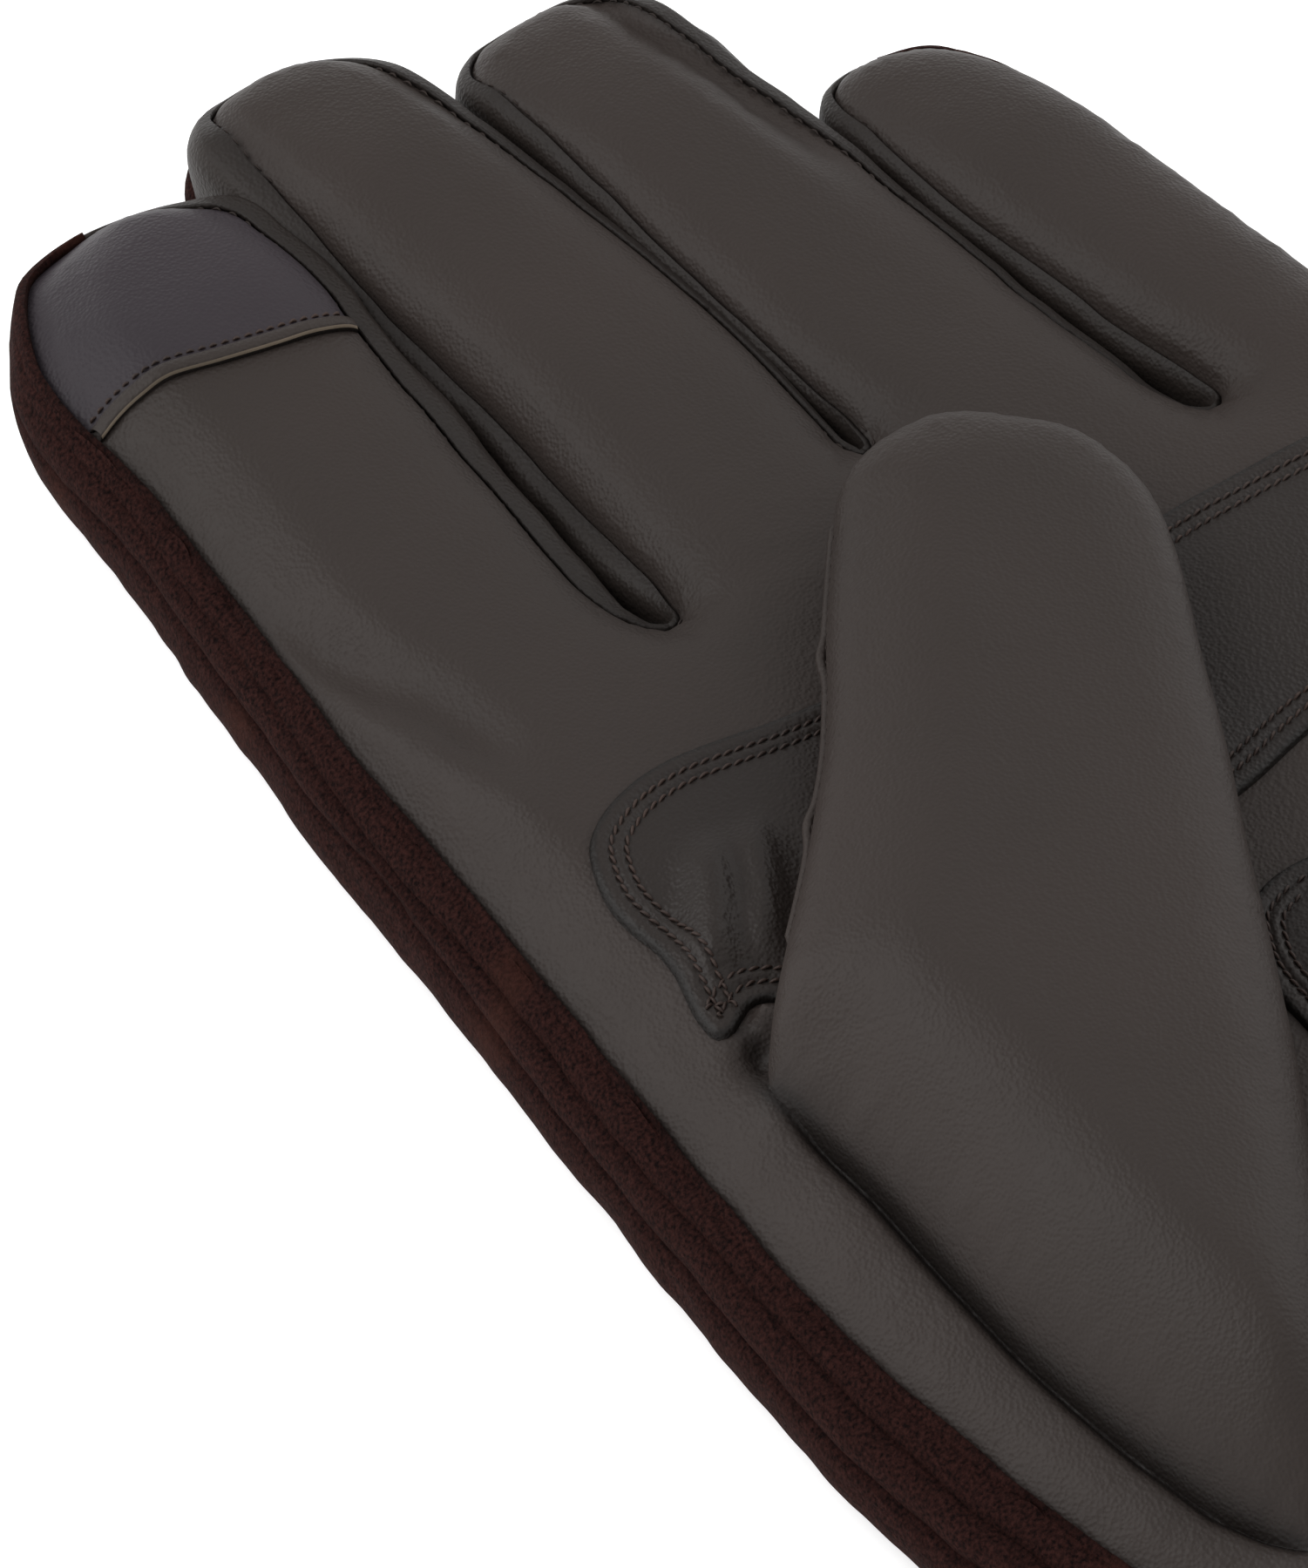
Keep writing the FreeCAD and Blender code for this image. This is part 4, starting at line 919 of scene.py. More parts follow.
def stitch_mesh(points, normals, pitch, length, radius, seed=0, lift=0.0, slant=0.0):
    """Separate little rounded stitches along a path, dipping into the leather at each end."""
    r = np.random.RandomState(seed)
    s = arc_len(points)
    n = int(s[-1] // pitch)
    V, F = [], []
    base = 0
    for k in range(n):
        c = (k + 0.5) * pitch + r.uniform(-0.04, 0.04)
        tt = np.linspace(-length / 2, length / 2, 6)
        p = np.stack([np.interp(c + tt, s, points[:, q]) for q in range(3)], 1)
        nn = np.stack([np.interp(c, s, normals[:, q]) for q in range(3)])
        nn /= np.linalg.norm(nn)
        arch = np.array([-1.0, 0.1, 0.75, 0.75, 0.1, -1.0]) * radius
        t = p[-1] - p[0]
        t /= np.linalg.norm(t) + 1e-9
        b = np.cross(nn, t)
        sk = slant + r.uniform(-0.07, 0.07)
        p = p + nn * (arch + lift)[:, None] + b * (tt * sk)[:, None]
        rad = radius * np.array([0.45, 0.85, 1.0, 1.0, 0.85, 0.45])
        a = np.linspace(0, 2 * np.pi, 6, endpoint=False)
        ring = p[:, None] + b * (np.cos(a)[None, :, None] * rad[:, None, None]) + nn * (np.sin(a)[None, :, None] * rad[:, None, None])
        V.append(ring.reshape(-1, 3))
        for q in grid_faces(6, 6, True):
            F.append(tuple(int(x) + base for x in q))
        F.append(tuple(base + x for x in range(5, -1, -1)))
        F.append(tuple(base + 30 + x for x in range(6)))
        base += 36
    if not V:
        return None, None
    return np.vstack(V), F


def palm_normal(x, y, f=None):
    f = f or (lambda a, b: palm_z(a, b))
    e = 0.25
    zx = (f(x + e, y) - f(x - e, y)) / (2 * e)
    zy = (f(x, y + e) - f(x, y - e)) / (2 * e)
    n = np.stack([-zx, -zy, np.ones(len(x))], 1)
    return n / np.linalg.norm(n, axis=1)[:, None]


# ---- raised patches ----
PATCH = [(-43.9, 2.8), (-42.9, 2.2), (-41.2, 2.7), (-39.2, 3.3), (-37.8, 2.6), (-36.4, 0.4), (-33.0, -1.6), (-24.0, -3.6),
         (-12.0, -6.0), (0.0, -7.9), (10.0, -8.6), (19.0, -7.8), (34.0, -7.9), (47.0, -7.6), (54.0, -4.8), (57.0, 1.0),
         (57.0, 8.5), (54.6, 13.6), (49.0, 16.4), (43.5, 17.5), (37.9, 18.4), (32.0, 19.1), (22.0, 19.8), (10.0, 21.0), (-4.0, 23.2),
         (-14.4, 25.3), (-21.2, 27.5), (-26.9, 28.9), (-30.5, 29.0), (-35.0, 28.0), (-37.8, 26.5), (-40.0, 23.6), (-41.3, 20.2),
         (-41.7, 16.7), (-41.7, 13.5), (-42.2, 10.5), (-43.0, 7.9), (-43.8, 5.2)]
HEEL = [(5.0, -17.4), (0.4, -18.6), (-3.0, -22.6), (-4.8, -31.0), (-4.0, -44.0), (2.0, -58.0), (12.0, -68.5),
        (24.0, -73.0), (35.0, -72.5), (44.0, -66.0), (49.6, -54.0), (54.0, -40.0), (56.0, -28.0),
        (54.0, -22.0), (46.0, -19.6), (24.0, -18.8), (10.0, -18.2)]


def patch_height(d):
    h = 0.80 * (0.86 * quarter(d / 0.45) + 0.14 * smooth(-0.2, 1.4, d))
    h = h - 0.26 * np.exp(-((d - 1.95) / 0.34) ** 2) - 0.26 * np.exp(-((d - 3.35) / 0.34) ** 2)
    return h + 0.10 * np.exp(-((d - 2.65) / 0.36) ** 2) + 0.14 * smooth(3.4, 9.0, d)


patch_loops = {}
for name, poly in (("palm_patch", PATCH), ("heel_patch", HEEL)):
    lp = spline(poly, 0.9, closed=True)
    area2 = np.sum(lp[:, 0] * np.roll(lp[:, 1], -1) - np.roll(lp[:, 0], -1) * lp[:, 1])
    if area2 < 0:
        lp = lp[::-1]
    tg = np.roll(lp, -1, 0) - np.roll(lp, 1, 0)
    tg /= np.linalg.norm(tg, axis=1)[:, None]
    nin = np.stack([-tg[:, 1], tg[:, 0]], 1)
    sl = np.arange(len(lp)) * 0.9
    lp = lp + nin * (0.10 * noise2(sl, sl * 0 + 3, 6.0, 31))[:, None]
    rws = np.vstack([lp + nin * d for d in (0.1, 0.25, 0.5, 0.8, 1.2, 1.6, 1.95, 2.3, 2.65, 3.0, 3.35, 3.7)])
    hx = hex_points(lp, 1.4, 0)
    dd, _, _ = seg_dist(hx[:, 0], hx[:, 1], lp, True)
    pts = np.vstack([rws, hx[dd > 4.2]])
    pts = pts[inside(pts[:, 0], pts[:, 1], lp)]
    v2, f2, _ = cdt(lp, pts)
    dd, _, _ = seg_dist(v2[:, 0], v2[:, 1], lp, True)
    z = palm_z(v2[:, 0], v2[:, 1]) + patch_height(dd) + 0.02
    V = np.column_stack([v2, z])
    # painted shade: dark round the patch's raised edge and in the grooves of its two stitch rows
    patch_painted_shade = np.maximum(0.97 * smooth(0.85, 0.3, dd), 0.5 * np.maximum(np.exp(-((dd - 1.95) / 0.25) ** 2), np.exp(-((dd - 3.35) / 0.25) ** 2)))
    ob = make_piece(name + "_leather", V, f2, vertex_normals(V, f2), v2, PATCHM, body="hand", thick=0.9,
                    replaces=(name,), shade=patch_painted_shade)
    allV, allF = [], []
    off = 0
    for k, d in enumerate((1.95, 3.35)):
        c = lp + nin * d
        c = np.vstack([c, c[:1]])
        c = spline(c, 0.35)
        dd, _, _ = seg_dist(c[:, 0], c[:, 1], lp, True)
        zc = palm_z(c[:, 0], c[:, 1]) + patch_height(dd) + 0.02
        P = np.column_stack([c, zc])
        sv, sf = stitch_mesh(P, palm_normal(c[:, 0], c[:, 1]), 1.15, 1.22, 0.165, seed=40 + k, lift=0.14, slant=0.26)
        allV.append(sv)
        allF += [tuple(i + off for i in q) for q in sf]
        off += len(sv)
    make_piece(name + "_stitches", np.vstack(allV), allF, None, None, THREAD, body="hand",
               replaces=(name + "_stitching",), smooth_shade=True)

# ---- touch tip: folded, raised seam and its stitches ----
body, bl = zone_blend(2)
sp = spline(TIPSEAM, 0.45)[:, :2]
dd, _ = nearest_rim(sp[:, 0], sp[:, 1])
sp = sp[inside(sp[:, 0], sp[:, 1], loop) & (dd > 0.15)]
tg = np.gradient(sp, axis=0)
tg /= np.linalg.norm(tg, axis=1)[:, None]
lo_side = np.stack([tg[:, 1], -tg[:, 0]], 1)          # towards the palm
prof = [(-0.25, -0.25), (-0.12, 0.24), (0.05, 0.58), (0.35, 0.84), (0.75, 0.98), (1.10, 1.02), (1.42, 0.98), (1.62, 0.86),
        (1.78, 0.58), (1.74, 0.30), (1.66, -0.30)]
wav = 1 + 0.12 * noise2(arc_len(sp), arc_len(sp) * 0, 4.0, 51)
G = np.zeros((len(sp), len(prof), 3))
for j, (o, h) in enumerate(prof):
    q = sp + lo_side * o
    G[:, j, :2] = q
    d_, z_ = nearest_rim(q[:, 0], q[:, 1])
    inq = inside(q[:, 0], q[:, 1], loop)
    zz = palm_z(q[:, 0], q[:, 1], np.where(inq, d_, 0), z_)
    G[:, j, 2] = zz + h * wav
Vr = G.reshape(-1, 3)
Fr = grid_faces(len(sp), len(prof))
nprof = len(prof)
Nr = vertex_normals(Vr, tri(Fr))
if Nr[:, 2].mean() < 0:
    Fr = Fr[:, ::-1]
    Nr = -Nr
cutf = (Fr.min(1) % nprof) == 7
# painted shade: darker at the band's foot on the tip side, full dark on its turned-under side towards the palm
band_painted_shade = np.tile(np.array([0.5, 0.25, 0, 0, 0, 0, 0, 0, 0.9, 1.0, 1.0]), len(sp))
make_piece("index_tip_seam_band", Vr, Fr[~cutf], Nr, None, LEATHER, body=body, blend=bl, thick=0.25,
           replaces=("index_tip_seam_roll",), shade=band_painted_shade)
make_piece("index_tip_seam_cut_edge", Vr, Fr[cutf], Nr, None, CUT, body=body, blend=bl, thick=0.2)
q = sp - lo_side * 0.75
m = inside(q[:, 0], q[:, 1], loop)
d_, z_ = nearest_rim(q[:, 0], q[:, 1])
m &= d_ > 0.5
q = q[m]
P = np.column_stack([q, palm_z(q[:, 0], q[:, 1])])
sv, sf = stitch_mesh(P, palm_normal(q[:, 0], q[:, 1]), 1.15, 0.9, 0.17, seed=60, lift=0.05)
make_piece("touch_tip_stitches", sv, sf, None, None, THREAD, body=body, blend=bl)

# ---- stitches in the finger seams ----
fs_zone = rz
sel = (RB < 0.6) & (T[:, 1] > 30)
k = 0
runs = []
cur = []
for i in range(NR):
    if sel[i] and (not cur or fs_zone[i] == fs_zone[cur[-1]]):
        cur.append(i)
    else:
        if len(cur) > 6:
            runs.append(cur)
        cur = [i] if sel[i] else []
if len(cur) > 6:
    runs.append(cur)
acc = {}
for run in runs:
    idx = np.array(run)
    P = T[idx] - np.column_stack([NRM[idx] * 0.28, np.full(len(idx), -0.38)])
    n3 = np.column_stack([NRM[idx] * 0.5, np.full(len(idx), 0.85)])
    sv, sf = stitch_mesh(P, n3, 2.0, 1.1, 0.11, seed=70 + len(acc), lift=0.02)
    if sv is None:
        continue
    z = fs_zone[run[0]]
    a = acc.setdefault(z, [[], [], 0])
    a[0].append(sv)
    a[1] += [tuple(i + a[2] for i in q) for q in sf]
    a[2] += len(sv)
for z, (vv, ff, _) in acc.items():
    body, bl = zone_blend(z)
    make_piece("seam_stitches_" + ZONES[z][0], np.vstack(vv), ff, None, None, DARK, body=body, blend=bl)

# ---------------------------------------------------------------------------
# Thumb, folded over the palm
# ---------------------------------------------------------------------------
# x, y, seam height, 1 = sewn edge
TH_LEFT = [(-44.6, -4.8, 16.4, 1), (-43.2, -3.1, 18.3, 1), (-41.0, -1.1, 20.3, 1), (-37.2, 1.8, 22.2, 1), (-33.2, 4.6, 23.4, 1),
           (-29.0, 7.7, 24.0, 1), (-24.3, 11.6, 24.2, 1), (-19.4, 15.7, 24.2, 1), (-14.2, 20.9, 24.2, 1), (-10.2, 25.4, 24.2, 1),
           (-5.7, 29.9, 24.2, 1), (-1.2, 34.2, 24.5, .9)]
TH_TIP = [(1.7, 36.8, 25.0, .6), (5.0, 38.3, 25.6, .4), (8.6, 38.5, 26.0, .3), (12.6, 37.9, 26.3, .2), (15.7, 36.3, 26.5, 0),
          (18.2, 33.5, 26.6, 0), (20.5, 30.3, 26.6, 0), (22.2, 27.6, 26.6, 0), (22.9, 24.0, 26.6, 0), (22.9, 20.6, 26.6, 0),
          (22.2, 16.6, 26.6, 0), (20.0, 11.8, 26.5, 0)]
TH_RIGHT = [(16.7, 6.4, 26.4, 0), (12.6, 0.2, 26.2, 0), (9.5, -4.9, 26.0, 0), (5.8, -10.6, 25.8, 0), (1.6, -16.6, 25.5, 0),
            (-2.9, -23.5, 25.2, 0), (-7.9, -31.0, 24.8, 0), (-11.9, -36.9, 24.4, 0), (-15.4, -41.6, 23.9, 0),
            (-20.4, -48.6, 23.0, 0), (-26.0, -56.2, 21.8, 0), (-32.6, -63.4, 20.0, 0), (-38.6, -69.0, 18.0, 0), (-42.9, -71.6, 16.4, 0)]
side_run = spline(TH_LEFT + TH_TIP + TH_RIGHT, 0.9)
base_run = spline([(-42.9, -71.6), (-44.6, -66.6), (-45.8, -61.6), (-46.5, -53.9), (-46.7, -46.1), (-46.6, -38.7), (-46.1, -32.3),
                   (-45.4, -25.7), (-44.7, -18.8), (-44.4, -12.2), (-44.4, -8.0), (-44.6, -4.8)], 1.0)[1:-1]
tl = np.vstack([side_run[:, :2], base_run[:, :2]])
nside, nall = len(side_run), len(tl)
tg = np.roll(tl, -1, 0) - np.roll(tl, 1, 0)
tg /= np.linalg.norm(tg, axis=1)[:, None]
area2 = np.sum(tl[:, 0] * np.roll(tl[:, 1], -1) - np.roll(tl[:, 0], -1) * tl[:, 1])
nin = np.stack([-tg[:, 1], tg[:, 0]], 1) * (1 if area2 > 0 else -1)
rws = np.vstack([side_run[:, :2] + nin[:nside] * d for d in (0.3, 0.7, 1.2, 1.9, 2.7)]
                + [base_run[:, :2] + nin[nside:] * d for d in (0.5, 1.1, 1.9, 2.8)])
hx = hex_points(tl, 1.5, 0)
dd, _, _ = seg_dist(hx[:, 0], hx[:, 1], tl, True)
pts = np.vstack([rws, hx[dd > 3.4]])
pts = pts[inside(pts[:, 0], pts[:, 1], tl)]
TV2, TF, TORG = cdt(tl, pts)
BASE_LINE = np.vstack([side_run[-1:, :2], base_run[:, :2], side_run[:1, :2]])


def thumb_fields(x, y):
    d, _, _ = seg_dist(x, y, side_run)
    w = 1.0 / ((x[:, None] - side_run[None, :, 0]) ** 2 + (y[:, None] - side_run[None, :, 1]) ** 2 + 0.02) ** 2
    zr = (w * side_run[None, :, 2]).sum(1) / w.sum(1)
    sw = (w * side_run[None, :, 3]).sum(1) / w.sum(1)
    db, _, _ = seg_dist(x, y, BASE_LINE)
    return d, zr, sw, db


def thumb_top(x, y, lo=0.0):
    d, zr, sw, db = thumb_fields(x, y)
    crease = palm_z(x, y) + 0.05
    # broad and flat-topped, fullest over the ball, a little lower at the tip
    H = 30.4 + 0.4 * np.exp(-((x + 18) / 16.0) ** 2 - ((y + 12) / 22.0) ** 2) - 0.7 * smooth(26, 40, y)
    kl = smooth(0.35, 0.8, sw)
    R = 1 - (1 - np.clip(db / (15.0 - 7.0 * kl * smooth(9.0, 1.0, d)), 0, 1)) ** 2.0
    left = sw > 0.5
    Q = 0.62 * quarter(d / 6.5) + 0.38 * quarter(d / 15.0)
    Ql = 0.30 * quarter(d / 2.2) + 0.70 * (1 - (1 - np.clip(d / 13.0, 0, 1)) ** 2)
    kl = smooth(0.35, 0.8, sw)
    Q = Q * (1 - kl) + Ql * kl
    full = zr + (H - zr) * Q
    full = full + 0.16 * noise2(x, y, 16.0, 61) * smooth(0.5, 6, d) + 0.05 * noise2(x, y, 6.0, 62) * smooth(0.5, 4, d)
    # slack pulls across the ball near the root
    full = full - 0.35 * np.exp(-((y + 31 + 0.55 * (x + 30)) / 5.0) ** 2) * smooth(24, 8, db)
    zt = crease + (full - crease) * R
    # the rim itself already carries its root height
    k = smooth(2.0, 0.0, d)
    return zt * (1 - k) + np.minimum(zt, full) * k


def thumb_bottom(x, y):
    d, zr, sw, db = thumb_fields(x, y)
    pz = palm_z(x, y)
    zbot = pz + 0.35 + 1.25 * smooth(0, 9, db)
    Q = 0.7 * quarter(d / 4.5) + 0.3 * quarter(d / 10.0)
    z = zr - (zr - zbot) * Q
    k = smooth(0, 6, db)
    return np.maximum(pz + 0.03 + (z - pz - 0.03) * k, pz + 0.03)


tz = thumb_top(TV2[:, 0], TV2[:, 1])
bz_ = thumb_bottom(TV2[:, 0], TV2[:, 1])
tz = np.maximum(tz, bz_ + 0.02)
rimm = TORG >= 0
rimm &= TORG < nall
# on the rim both skins meet
rim_z = np.zeros(nall)
rdb = seg_dist(side_run[:, 0], side_run[:, 1], BASE_LINE)[0]
rcr = palm_z(side_run[:, 0], side_run[:, 1])
rR = 1 - (1 - np.clip(rdb / (15.0 - 7.0 * smooth(0.35, 0.8, side_run[:, 3])), 0, 1)) ** 2.0
side_run[:, 2] = np.minimum(side_run[:, 2], rcr + (side_run[:, 2] - rcr) * rR + 0.1)
rim_z[:nside] = side_run[:, 2]
rim_z[nside:] = palm_z(base_run[:, 0], base_run[:, 1]) + 0.05
tz[rimm] = rim_z[TORG[rimm]]
bz_[rimm] = rim_z[TORG[rimm]]
ft = {tuple(sorted(e)) for f in TF for e in ((f[0], f[1]), (f[1], f[2]), (f[2], f[0]))}
ad = np.array(list(ft))
ad = np.vstack([ad, ad[:, ::-1]])
for arr in (tz, bz_):
    for _ in range(2):
        s_ = np.zeros(len(arr))
        c_ = np.zeros(len(arr))
        np.add.at(s_, ad[:, 0], arr[ad[:, 1]])
        np.add.at(c_, ad[:, 0], 1)
        mv = ~rimm
        arr[mv] = 0.6 * arr[mv] + 0.4 * (s_ / np.maximum(c_, 1))[mv]
nT2 = len(TV2)
VT = np.vstack([np.column_stack([TV2, tz]), np.column_stack([TV2, bz_])])
FT = TF
FBt = TF[:, ::-1] + nT2
# one skin's normals at the rolled edge, two at the sewn one
NT = vertex_normals(VT, FT)
NB = vertex_normals(VT, FBt)
both = NT[:nT2] + NB[nT2:]
both /= np.linalg.norm(both, axis=1)[:, None] + 1e-9
swr = np.ones(nT2)
swr[rimm] = np.concatenate([side_run[:, 3], np.ones(nall - nside)])[TORG[rimm]]
joinm = rimm & (swr < 0.5)
NT[:nT2][joinm] = both[joinm]
NB[nT2:][joinm] = both[joinm]
X0, X1 = np.array([-47.6, -40.0, 18.0]) * MM, np.array([-33.0, -40.0, 18.0]) * MM
TBL = ("hand", "thumb", X0, X1)
# painted shade along the thumb's root where it sits in the crease, wider and full on the back skin
_, _, _, dbv = thumb_fields(TV2[:, 0], TV2[:, 1])
thumb_painted_shade = np.minimum(1, 0.95 * np.exp(-(dbv / 0.8) ** 2) + 0.30 * np.exp(-(dbv / 2.6) ** 2))
thumb_back_painted_shade = np.maximum(thumb_painted_shade, 0.95 * smooth(5.0, 2.0, dbv))
TTK = 0.03 + 0.77 * smooth(0.3, 5.0, np.concatenate([dbv, dbv]))
make_piece("thumb_front", VT, FT, NT, np.vstack([TV2, TV2]), LEATHER, blend=TBL, thick=TTK,
           replaces=("thumb_front_leather",), shade=np.concatenate([thumb_painted_shade, thumb_painted_shade]))
make_piece("thumb_back", VT, FBt, NB, np.vstack([TV2, TV2]), LEATHER, blend=TBL, thick=TTK,
           replaces=("thumb_back_leather",), shade=np.concatenate([thumb_back_painted_shade, thumb_back_painted_shade]))
# the sewn edge: a folded lip of the back leather shows beyond the seam, and its stitches
li = np.arange(14, int(np.nonzero(side_run[:, 3] < 0.75)[0][0]))
lip = side_run[li, :3].copy()
lip[:, :2] += nin[li] * 0.02
lip[:, 2] -= 0.62
sL = arc_len(lip)
lip[:, 2] += 0.16 * noise2(sL, sL * 0, 5.0, 71)
for bx, by in ((-11.5, 24.8), (-25.4, 11.5)):
    g = np.exp(-(((lip[:, 0] - bx) ** 2 + (lip[:, 1] - by) ** 2) / 3.2))
    lip[:, :2] -= nin[li] * (0.55 * g)[:, None]
tv, tf = tube(spline(lip, 0.8), 0.52, 8)
make_piece("thumb_seam_lip", tv, tf, None, None, LEATHER, blend=TBL)
P = side_run[li, :3].copy()
P[:, :2] += nin[li] * 0.06
P[:, 2] += 0.12
n3 = np.column_stack([-nin[li] * 0.8, np.full(len(li), 0.6)])
sv, sf = stitch_mesh(spline(P, 0.4), np.column_stack([np.interp(np.linspace(0, 1, len(spline(P, 0.4))), np.linspace(0, 1, len(n3)), n3[:, c]) for c in range(3)]),
                     1.6, 0.8, 0.09, seed=80, lift=-0.02)
make_piece("thumb_seam_stitches", sv, sf, None, None, DARK, blend=TBL, replaces=("thumb_seam_stitching",))

# ---------------------------------------------------------------------------
# Linings, hem and elastic
# ---------------------------------------------------------------------------
LI = np.unique(np.concatenate([np.arange(0, NR, 3), [NR - 1]]))
LI = LI[(T[LI, 1] > -117.2)]
lt = T[LI, :2] - NRM[LI] * 2.0
lrow_x = np.arange(lt[-1, 0] - 3.0, lt[0, 0] + 1.0, -3.0)
lloop = np.vstack([lt, np.stack([lrow_x, np.full(len(lrow_x), -117.0)], 1)])
hx = hex_points(lloop, 3.6, 0)
dd, _, _ = seg_dist(hx[:, 0], hx[:, 1], lloop, True)
v2, f2, o2 = cdt(lloop, hx[dd > 2.2])
dq, zq = nearest_rim(v2[:, 0], v2[:, 1])
zt_ = palm_z(v2[:, 0], v2[:, 1], dq, zq, detail=False) - 1.95
# it dips with the leather under the thumb's crease
zt_ -= 2.6 * np.exp(-(seg_dist(v2[:, 0], v2[:, 1], CREASE)[0] / 5.0) ** 2) + 1.2 * np.exp(-(seg_dist(v2[:, 0], v2[:, 1], NOOK)[0] / 4.0) ** 2)
zb_ = np.full(len(v2), 2.15)
nl = len(v2)
nloop = len(lt)
VL = [np.column_stack([v2, zt_]), np.column_stack([v2, zb_])]
FL_top, FL_bot = f2, f2[:, ::-1] + nl
ring_idx = np.full(nloop, -1)
for i, o in enumerate(o2):
    if 0 <= o < nloop:
        ring_idx[o] = i
mid_rows = []
base = 2 * nl
for r_ in (0.25, 0.5, 0.75):
    zz = zt_[ring_idx] * (1 - r_) + zb_[ring_idx] * r_
    mid_rows.append(np.column_stack([v2[ring_idx] + NRM[LI] * 0.45, zz]))
VL = np.vstack(VL + mid_rows)
cols = [ring_idx] + [base + k * nloop + np.arange(nloop) for k in range(3)] + [ring_idx + nl]
side_up, side_dn = [], []
for k in range(4):
    a, b = cols[k], cols[k + 1]
    q = np.stack([a[:-1], b[:-1], b[1:], a[1:]], 1)
    (side_up if k < 2 else side_dn).append(q)
side_up, side_dn = np.vstack(side_up), np.vstack(side_dn)
NLn = vertex_normals(VL, np.vstack([FL_top, FL_bot, tri(side_up), tri(side_dn)]))


def zmask(F):
    c = VL[F].mean(1)
    return zone_of(c[:, 0], c[:, 1])


zt1, zb1, zu1, zd1 = zmask(FL_top), zmask(FL_bot), zmask(side_up), zmask(side_dn)
for z, (zn, f, kind) in enumerate(ZONES):
    body, bl = zone_blend(z)
    up = [tuple(t) for t in FL_top[zt1 == z]] + [tuple(q) for q in side_up[zu1 == z]]
    dn = [tuple(t) for t in FL_bot[zb1 == z]] + [tuple(q) for q in side_dn[zd1 == z]]
    if zn == "hand":
        make_piece("lining_palm", VL, up, NLn, None, LINING, body="hand", thick=0.6, replaces=("palm_lining",))
        make_piece("lining_back", VL, dn, NLn, None, LINING, body="hand", thick=0.6, replaces=("back_lining",))
    else:
        make_piece("lining_" + zn, VL, up + dn, NLn, None, LINING, body=body, blend=bl, thick=0.6,
                   replaces=(zn + "_lining",))

# thumb lining, an offset tube that stops short of the crease
NTt = NT[:nT2].copy()
NBb = NB[nT2:].copy()
NTt[rimm] = both[rimm]
NBb[rimm] = both[rimm]
LT = VT[:nT2] - NTt * 1.5
LB = VT[nT2:] - NBb * 1.5
_, _, _, dbt = thumb_fields(TV2[:, 0], TV2[:, 1])
okv = (LT[:, 2] - LB[:, 2] > 1.0) & (dbt > 7.0)
okv |= rimm & (dbt > 7.0)
mf = okv[TF].all(1)
make_piece("lining_thumb", np.vstack([LT, LB]), np.vstack([TF[mf], TF[mf][:, ::-1] + nT2]), None, None, LINING, blend=TBL,
           thick=0.4, replaces=("thumb_lining",))


# hem: the shell turned in round the mouth of the cuff
def section(y):
    """Outer section of the cuff at y as a closed run of (x, z), from the left seam over the palm."""
    iL = int(np.argmin(np.abs(T[:NR // 3, 1] - y)))
    iR = NR - 1 - int(np.argmin(np.abs(T[::-1][:NR // 3, 1] - y)))
    L, R_ = SIDE[iL][:, [0, 2]], SIDE[iR][:, [0, 2]]
    xs = np.linspace(T[iL, 0], T[iR, 0], 90)[1:-1]
    zz = palm_z(xs, np.full(len(xs), y))
    top = np.stack([xs, zz], 1)
    bx = np.linspace(R_[-1, 0], L[-1, 0], 60)[1:-1]
    bot = np.stack([bx, np.full(len(bx), 0.03)], 1)
    return np.vstack([L[:1], top, R_, bot, L[::-1][:-1]])


def even(p, n):
    q = np.vstack([p, p[:1]])
    s = arc_len(q)
    u = np.linspace(0, s[-1], n, endpoint=False)
    return np.stack([np.interp(u, s, q[:, c]) for c in range(2)], 1)


NSEC = 260


def hem_ring(y, off, y_at=None):
    p = even(section(y), NSEC)
    for _ in range(6 if off > 0.2 else 0):
        p = (np.roll(p, 1, 0) + 2 * p + np.roll(p, -1, 0)) / 4
    t = np.roll(p, -1, 0) - np.roll(p, 1, 0)
    t /= np.linalg.norm(t, axis=1)[:, None]
    area2 = np.sum(p[:, 0] * np.roll(p[:, 1], -1) - np.roll(p[:, 0], -1) * p[:, 1])
    n = np.stack([-t[:, 1], t[:, 0]], 1) * (1 if area2 > 0 else -1)
    p = p + n * off
    return np.column_stack([p[:, 0], np.full(NSEC, y if y_at is None else y_at), p[:, 1]])


hem_rows = [hem_ring(CUFF_Y, 0.02, -125.3), hem_ring(CUFF_Y, 0.06, -125.62), hem_ring(CUFF_Y, 0.4, -125.9), hem_ring(CUFF_Y, 0.95, -126.0),
            hem_ring(CUFF_Y, 1.5, -125.88), hem_ring(CUFF_Y, 1.8, -125.6)]
hem_rows += [hem_ring(y, 1.85) for y in (-125.2, -124, -122.5, -121, -119.5, -118.2, -117.4)]
HV = np.vstack(hem_rows)
HF = grid_faces(len(hem_rows), NSEC, True)
HN = vertex_normals(HV, tri(HF))
# faces look into the mouth
cx = HV.mean(0)
rowN = HN[-NSEC:]
inw = ((np.array([cx[0], 0, 8.0]) - HV[-NSEC:]) * rowN)[:, [0, 2]].sum()
if inw < 0:
    HF, HN = HF[:, ::-1], -HN
make_piece("cuff_turned_hem", HV, HF, HN, None, HEM, body="hand", thick=0.55, replaces=("cuff_hem",))
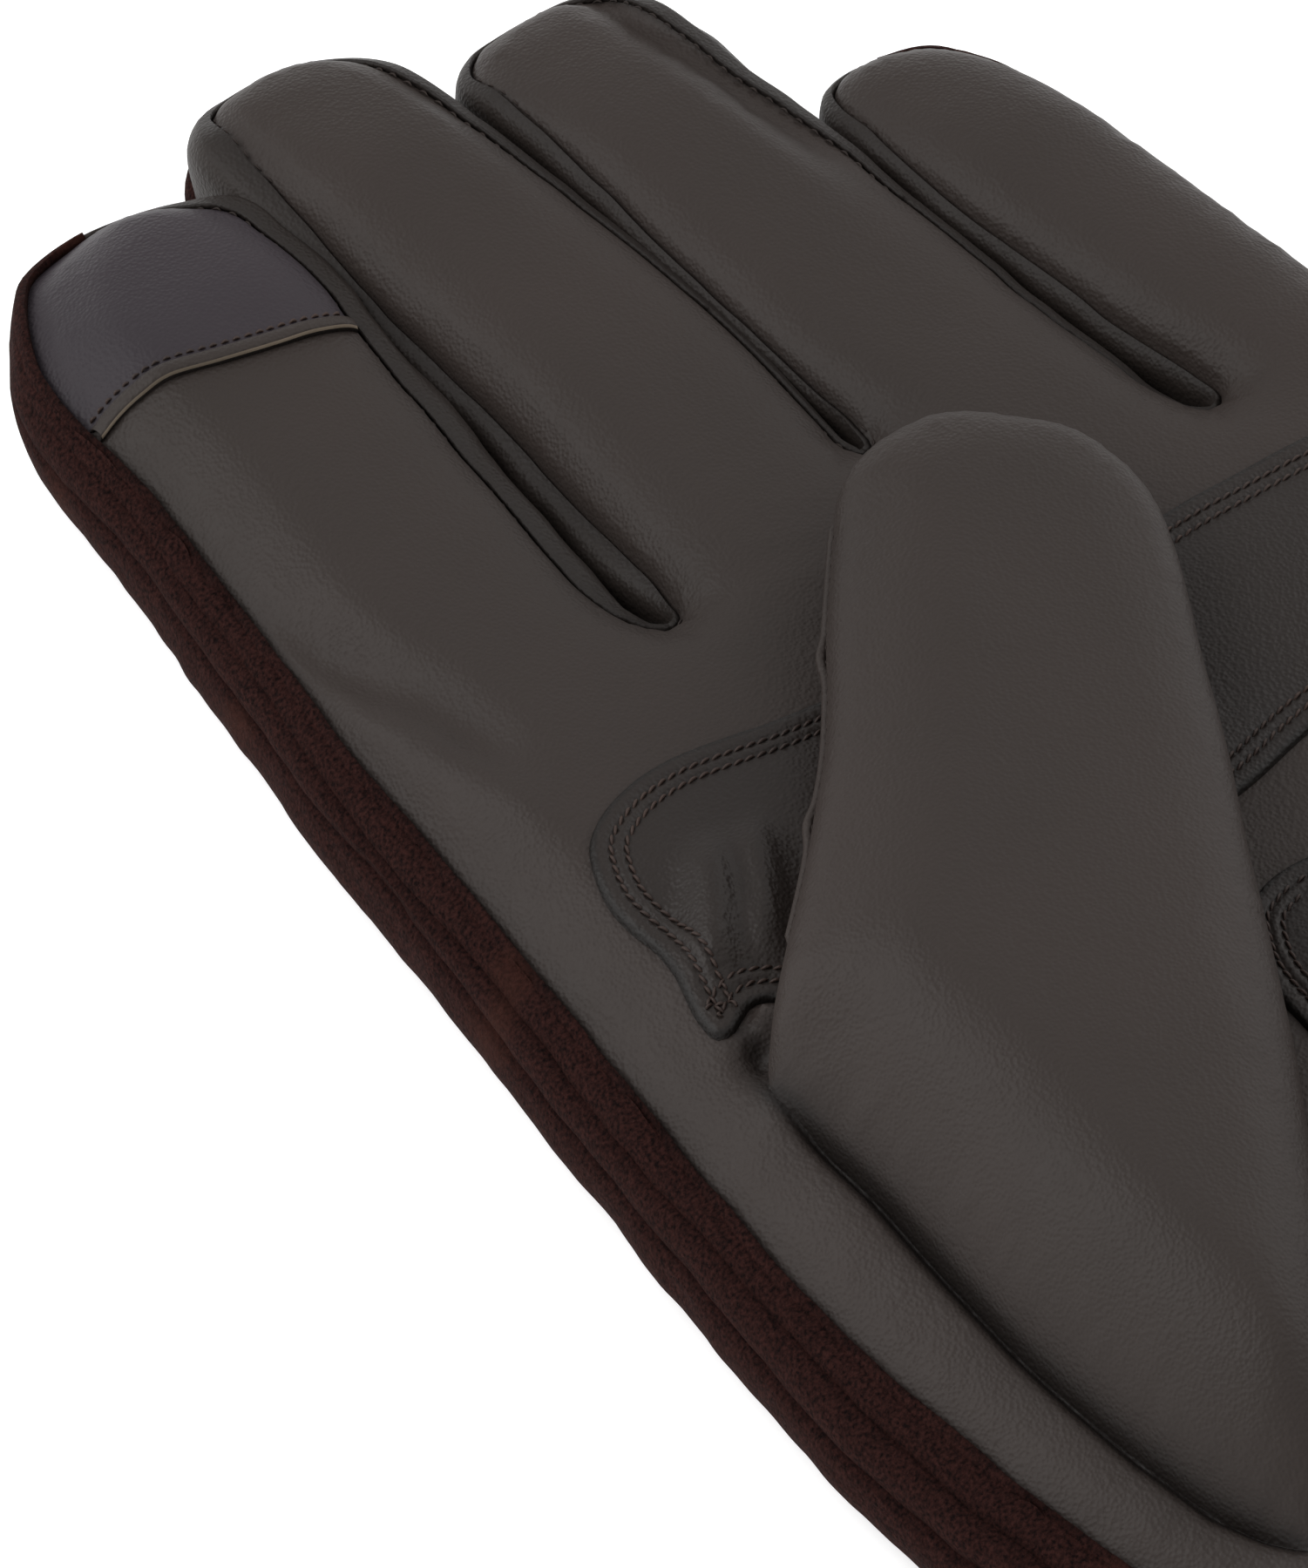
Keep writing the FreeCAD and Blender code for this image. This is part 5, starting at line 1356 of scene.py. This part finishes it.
# stitches that hold the hem down
P = hem_ring(-118.4, 1.80)
P = np.vstack([P, P[:1]])
t3 = np.roll(P, -1, 0) - np.roll(P, 1, 0)
n3 = np.cross(t3, (0, 1, 0))
n3 /= np.linalg.norm(n3, axis=1)[:, None] + 1e-9
c3 = np.array([cx[0], -118.4, 8.0])
if ((c3 - P) * n3)[:, [0, 2]].sum() < 0:
    n3 = -n3
sv, sf = stitch_mesh(P, n3, 3.2, 2.1, 0.2, seed=90, lift=0.05)
make_piece("cuff_hem_stitches", sv, sf, None, None, THREAD, body="hand")

# woven elastic inside the back at the wrist
ex, ey = np.meshgrid(np.linspace(-38, 34, 180), np.linspace(-98, -90, 14), indexing="ij")
ez = 1.78 + 0.14 * np.sin(ex * 2 * np.pi / 2.6) * smooth(0, 1, np.minimum(ey + 98, -90 - ey) / 0.5)
EV = np.stack([ex, ey, ez], 2).reshape(-1, 3)
EF = grid_faces(180, 14)
EN = vertex_normals(EV, tri(EF))
if EN[:, 2].mean() < 0:
    EF, EN = EF[:, ::-1], -EN
make_piece("wrist_elastic_band", EV, EF, EN, None, ELASTIC, body="hand", thick=0.5, replaces=("wrist_elastic",))

# ---------------------------------------------------------------------------
# Camera, light, floor
# ---------------------------------------------------------------------------
sc = bpy.context.scene
AZ, EL, DIST = math.radians(-42), math.radians(51), 0.850
TARGET = Vector((-0.026, 0.031, 0.012))
back = Vector((math.sin(AZ) * math.cos(EL), -math.cos(AZ) * math.cos(EL), math.sin(EL)))
cam = bpy.data.cameras.new("camera")
cam.sensor_width = 36
cam.sensor_fit = "AUTO"
cam.lens = 10752 * 36 / 1800
cam.clip_end = 20
co = bpy.data.objects.new("camera", cam)
sc.collection.objects.link(co)
co.location = TARGET + back * DIST
co.rotation_euler = (-back).to_track_quat("-Z", "Y").to_euler()
sc.camera = co
sc.view_settings.view_transform = "Standard"
sc.view_settings.look = "None"

fm = bpy.data.materials.new("floor")
fm.use_nodes = True
fb = fm.node_tree.nodes["Principled BSDF"]
fb.inputs["Base Color"].default_value = (0.93, 0.93, 0.93, 1)
fb.inputs["Roughness"].default_value = 0.9
fb.inputs["Specular IOR Level"].default_value = 0.1
fb.inputs["Emission Color"].default_value = (1, 1, 1, 1)
fb.inputs["Emission Strength"].default_value = 0.42
me = bpy.data.meshes.new("floor")
me.from_pydata([(-3, -3, -0.0004), (3, -3, -0.0004), (3, 3, -0.0004), (-3, 3, -0.0004)], [], [(0, 1, 2, 3)])
me.materials.append(fm)
floor = bpy.data.objects.new("floor", me)
sc.collection.objects.link(floor)

w = bpy.data.worlds.new("studio")
w.use_nodes = True
w.node_tree.nodes["Background"].inputs["Color"].default_value = (1, 1, 1, 1)
w.node_tree.nodes["Background"].inputs["Strength"].default_value = 0.74
sc.world = w


def area(name, loc, target, size, power, color=(1, 1, 1)):
    l = bpy.data.lights.new(name, "AREA")
    l.shape = "RECTANGLE"
    l.size, l.size_y = size
    l.energy = power
    l.color = color
    o = bpy.data.objects.new(name, l)
    sc.collection.objects.link(o)
    o.location = Vector(loc)
    o.rotation_euler = (Vector(target) - Vector(loc)).to_track_quat("-Z", "Y").to_euler()
    return o


area("soft_key", (-0.70, 0.60, 0.80), (0, 0.02, 0), (0.9, 0.9), 8.0)
area("soft_fill", (0.80, -0.05, 0.60), (0, 0.02, 0), (0.9, 0.9), 3.4)

# the finishes by kind, in a table; no CAD part is given one here
SOFT = {"leather": LEATHER, "touch_leather": TOUCH, "patch_leather": PATCHM, "suede": SUEDE, "lining": LINING, "thread": THREAD,
        "hem": HEM, "elastic": ELASTIC}
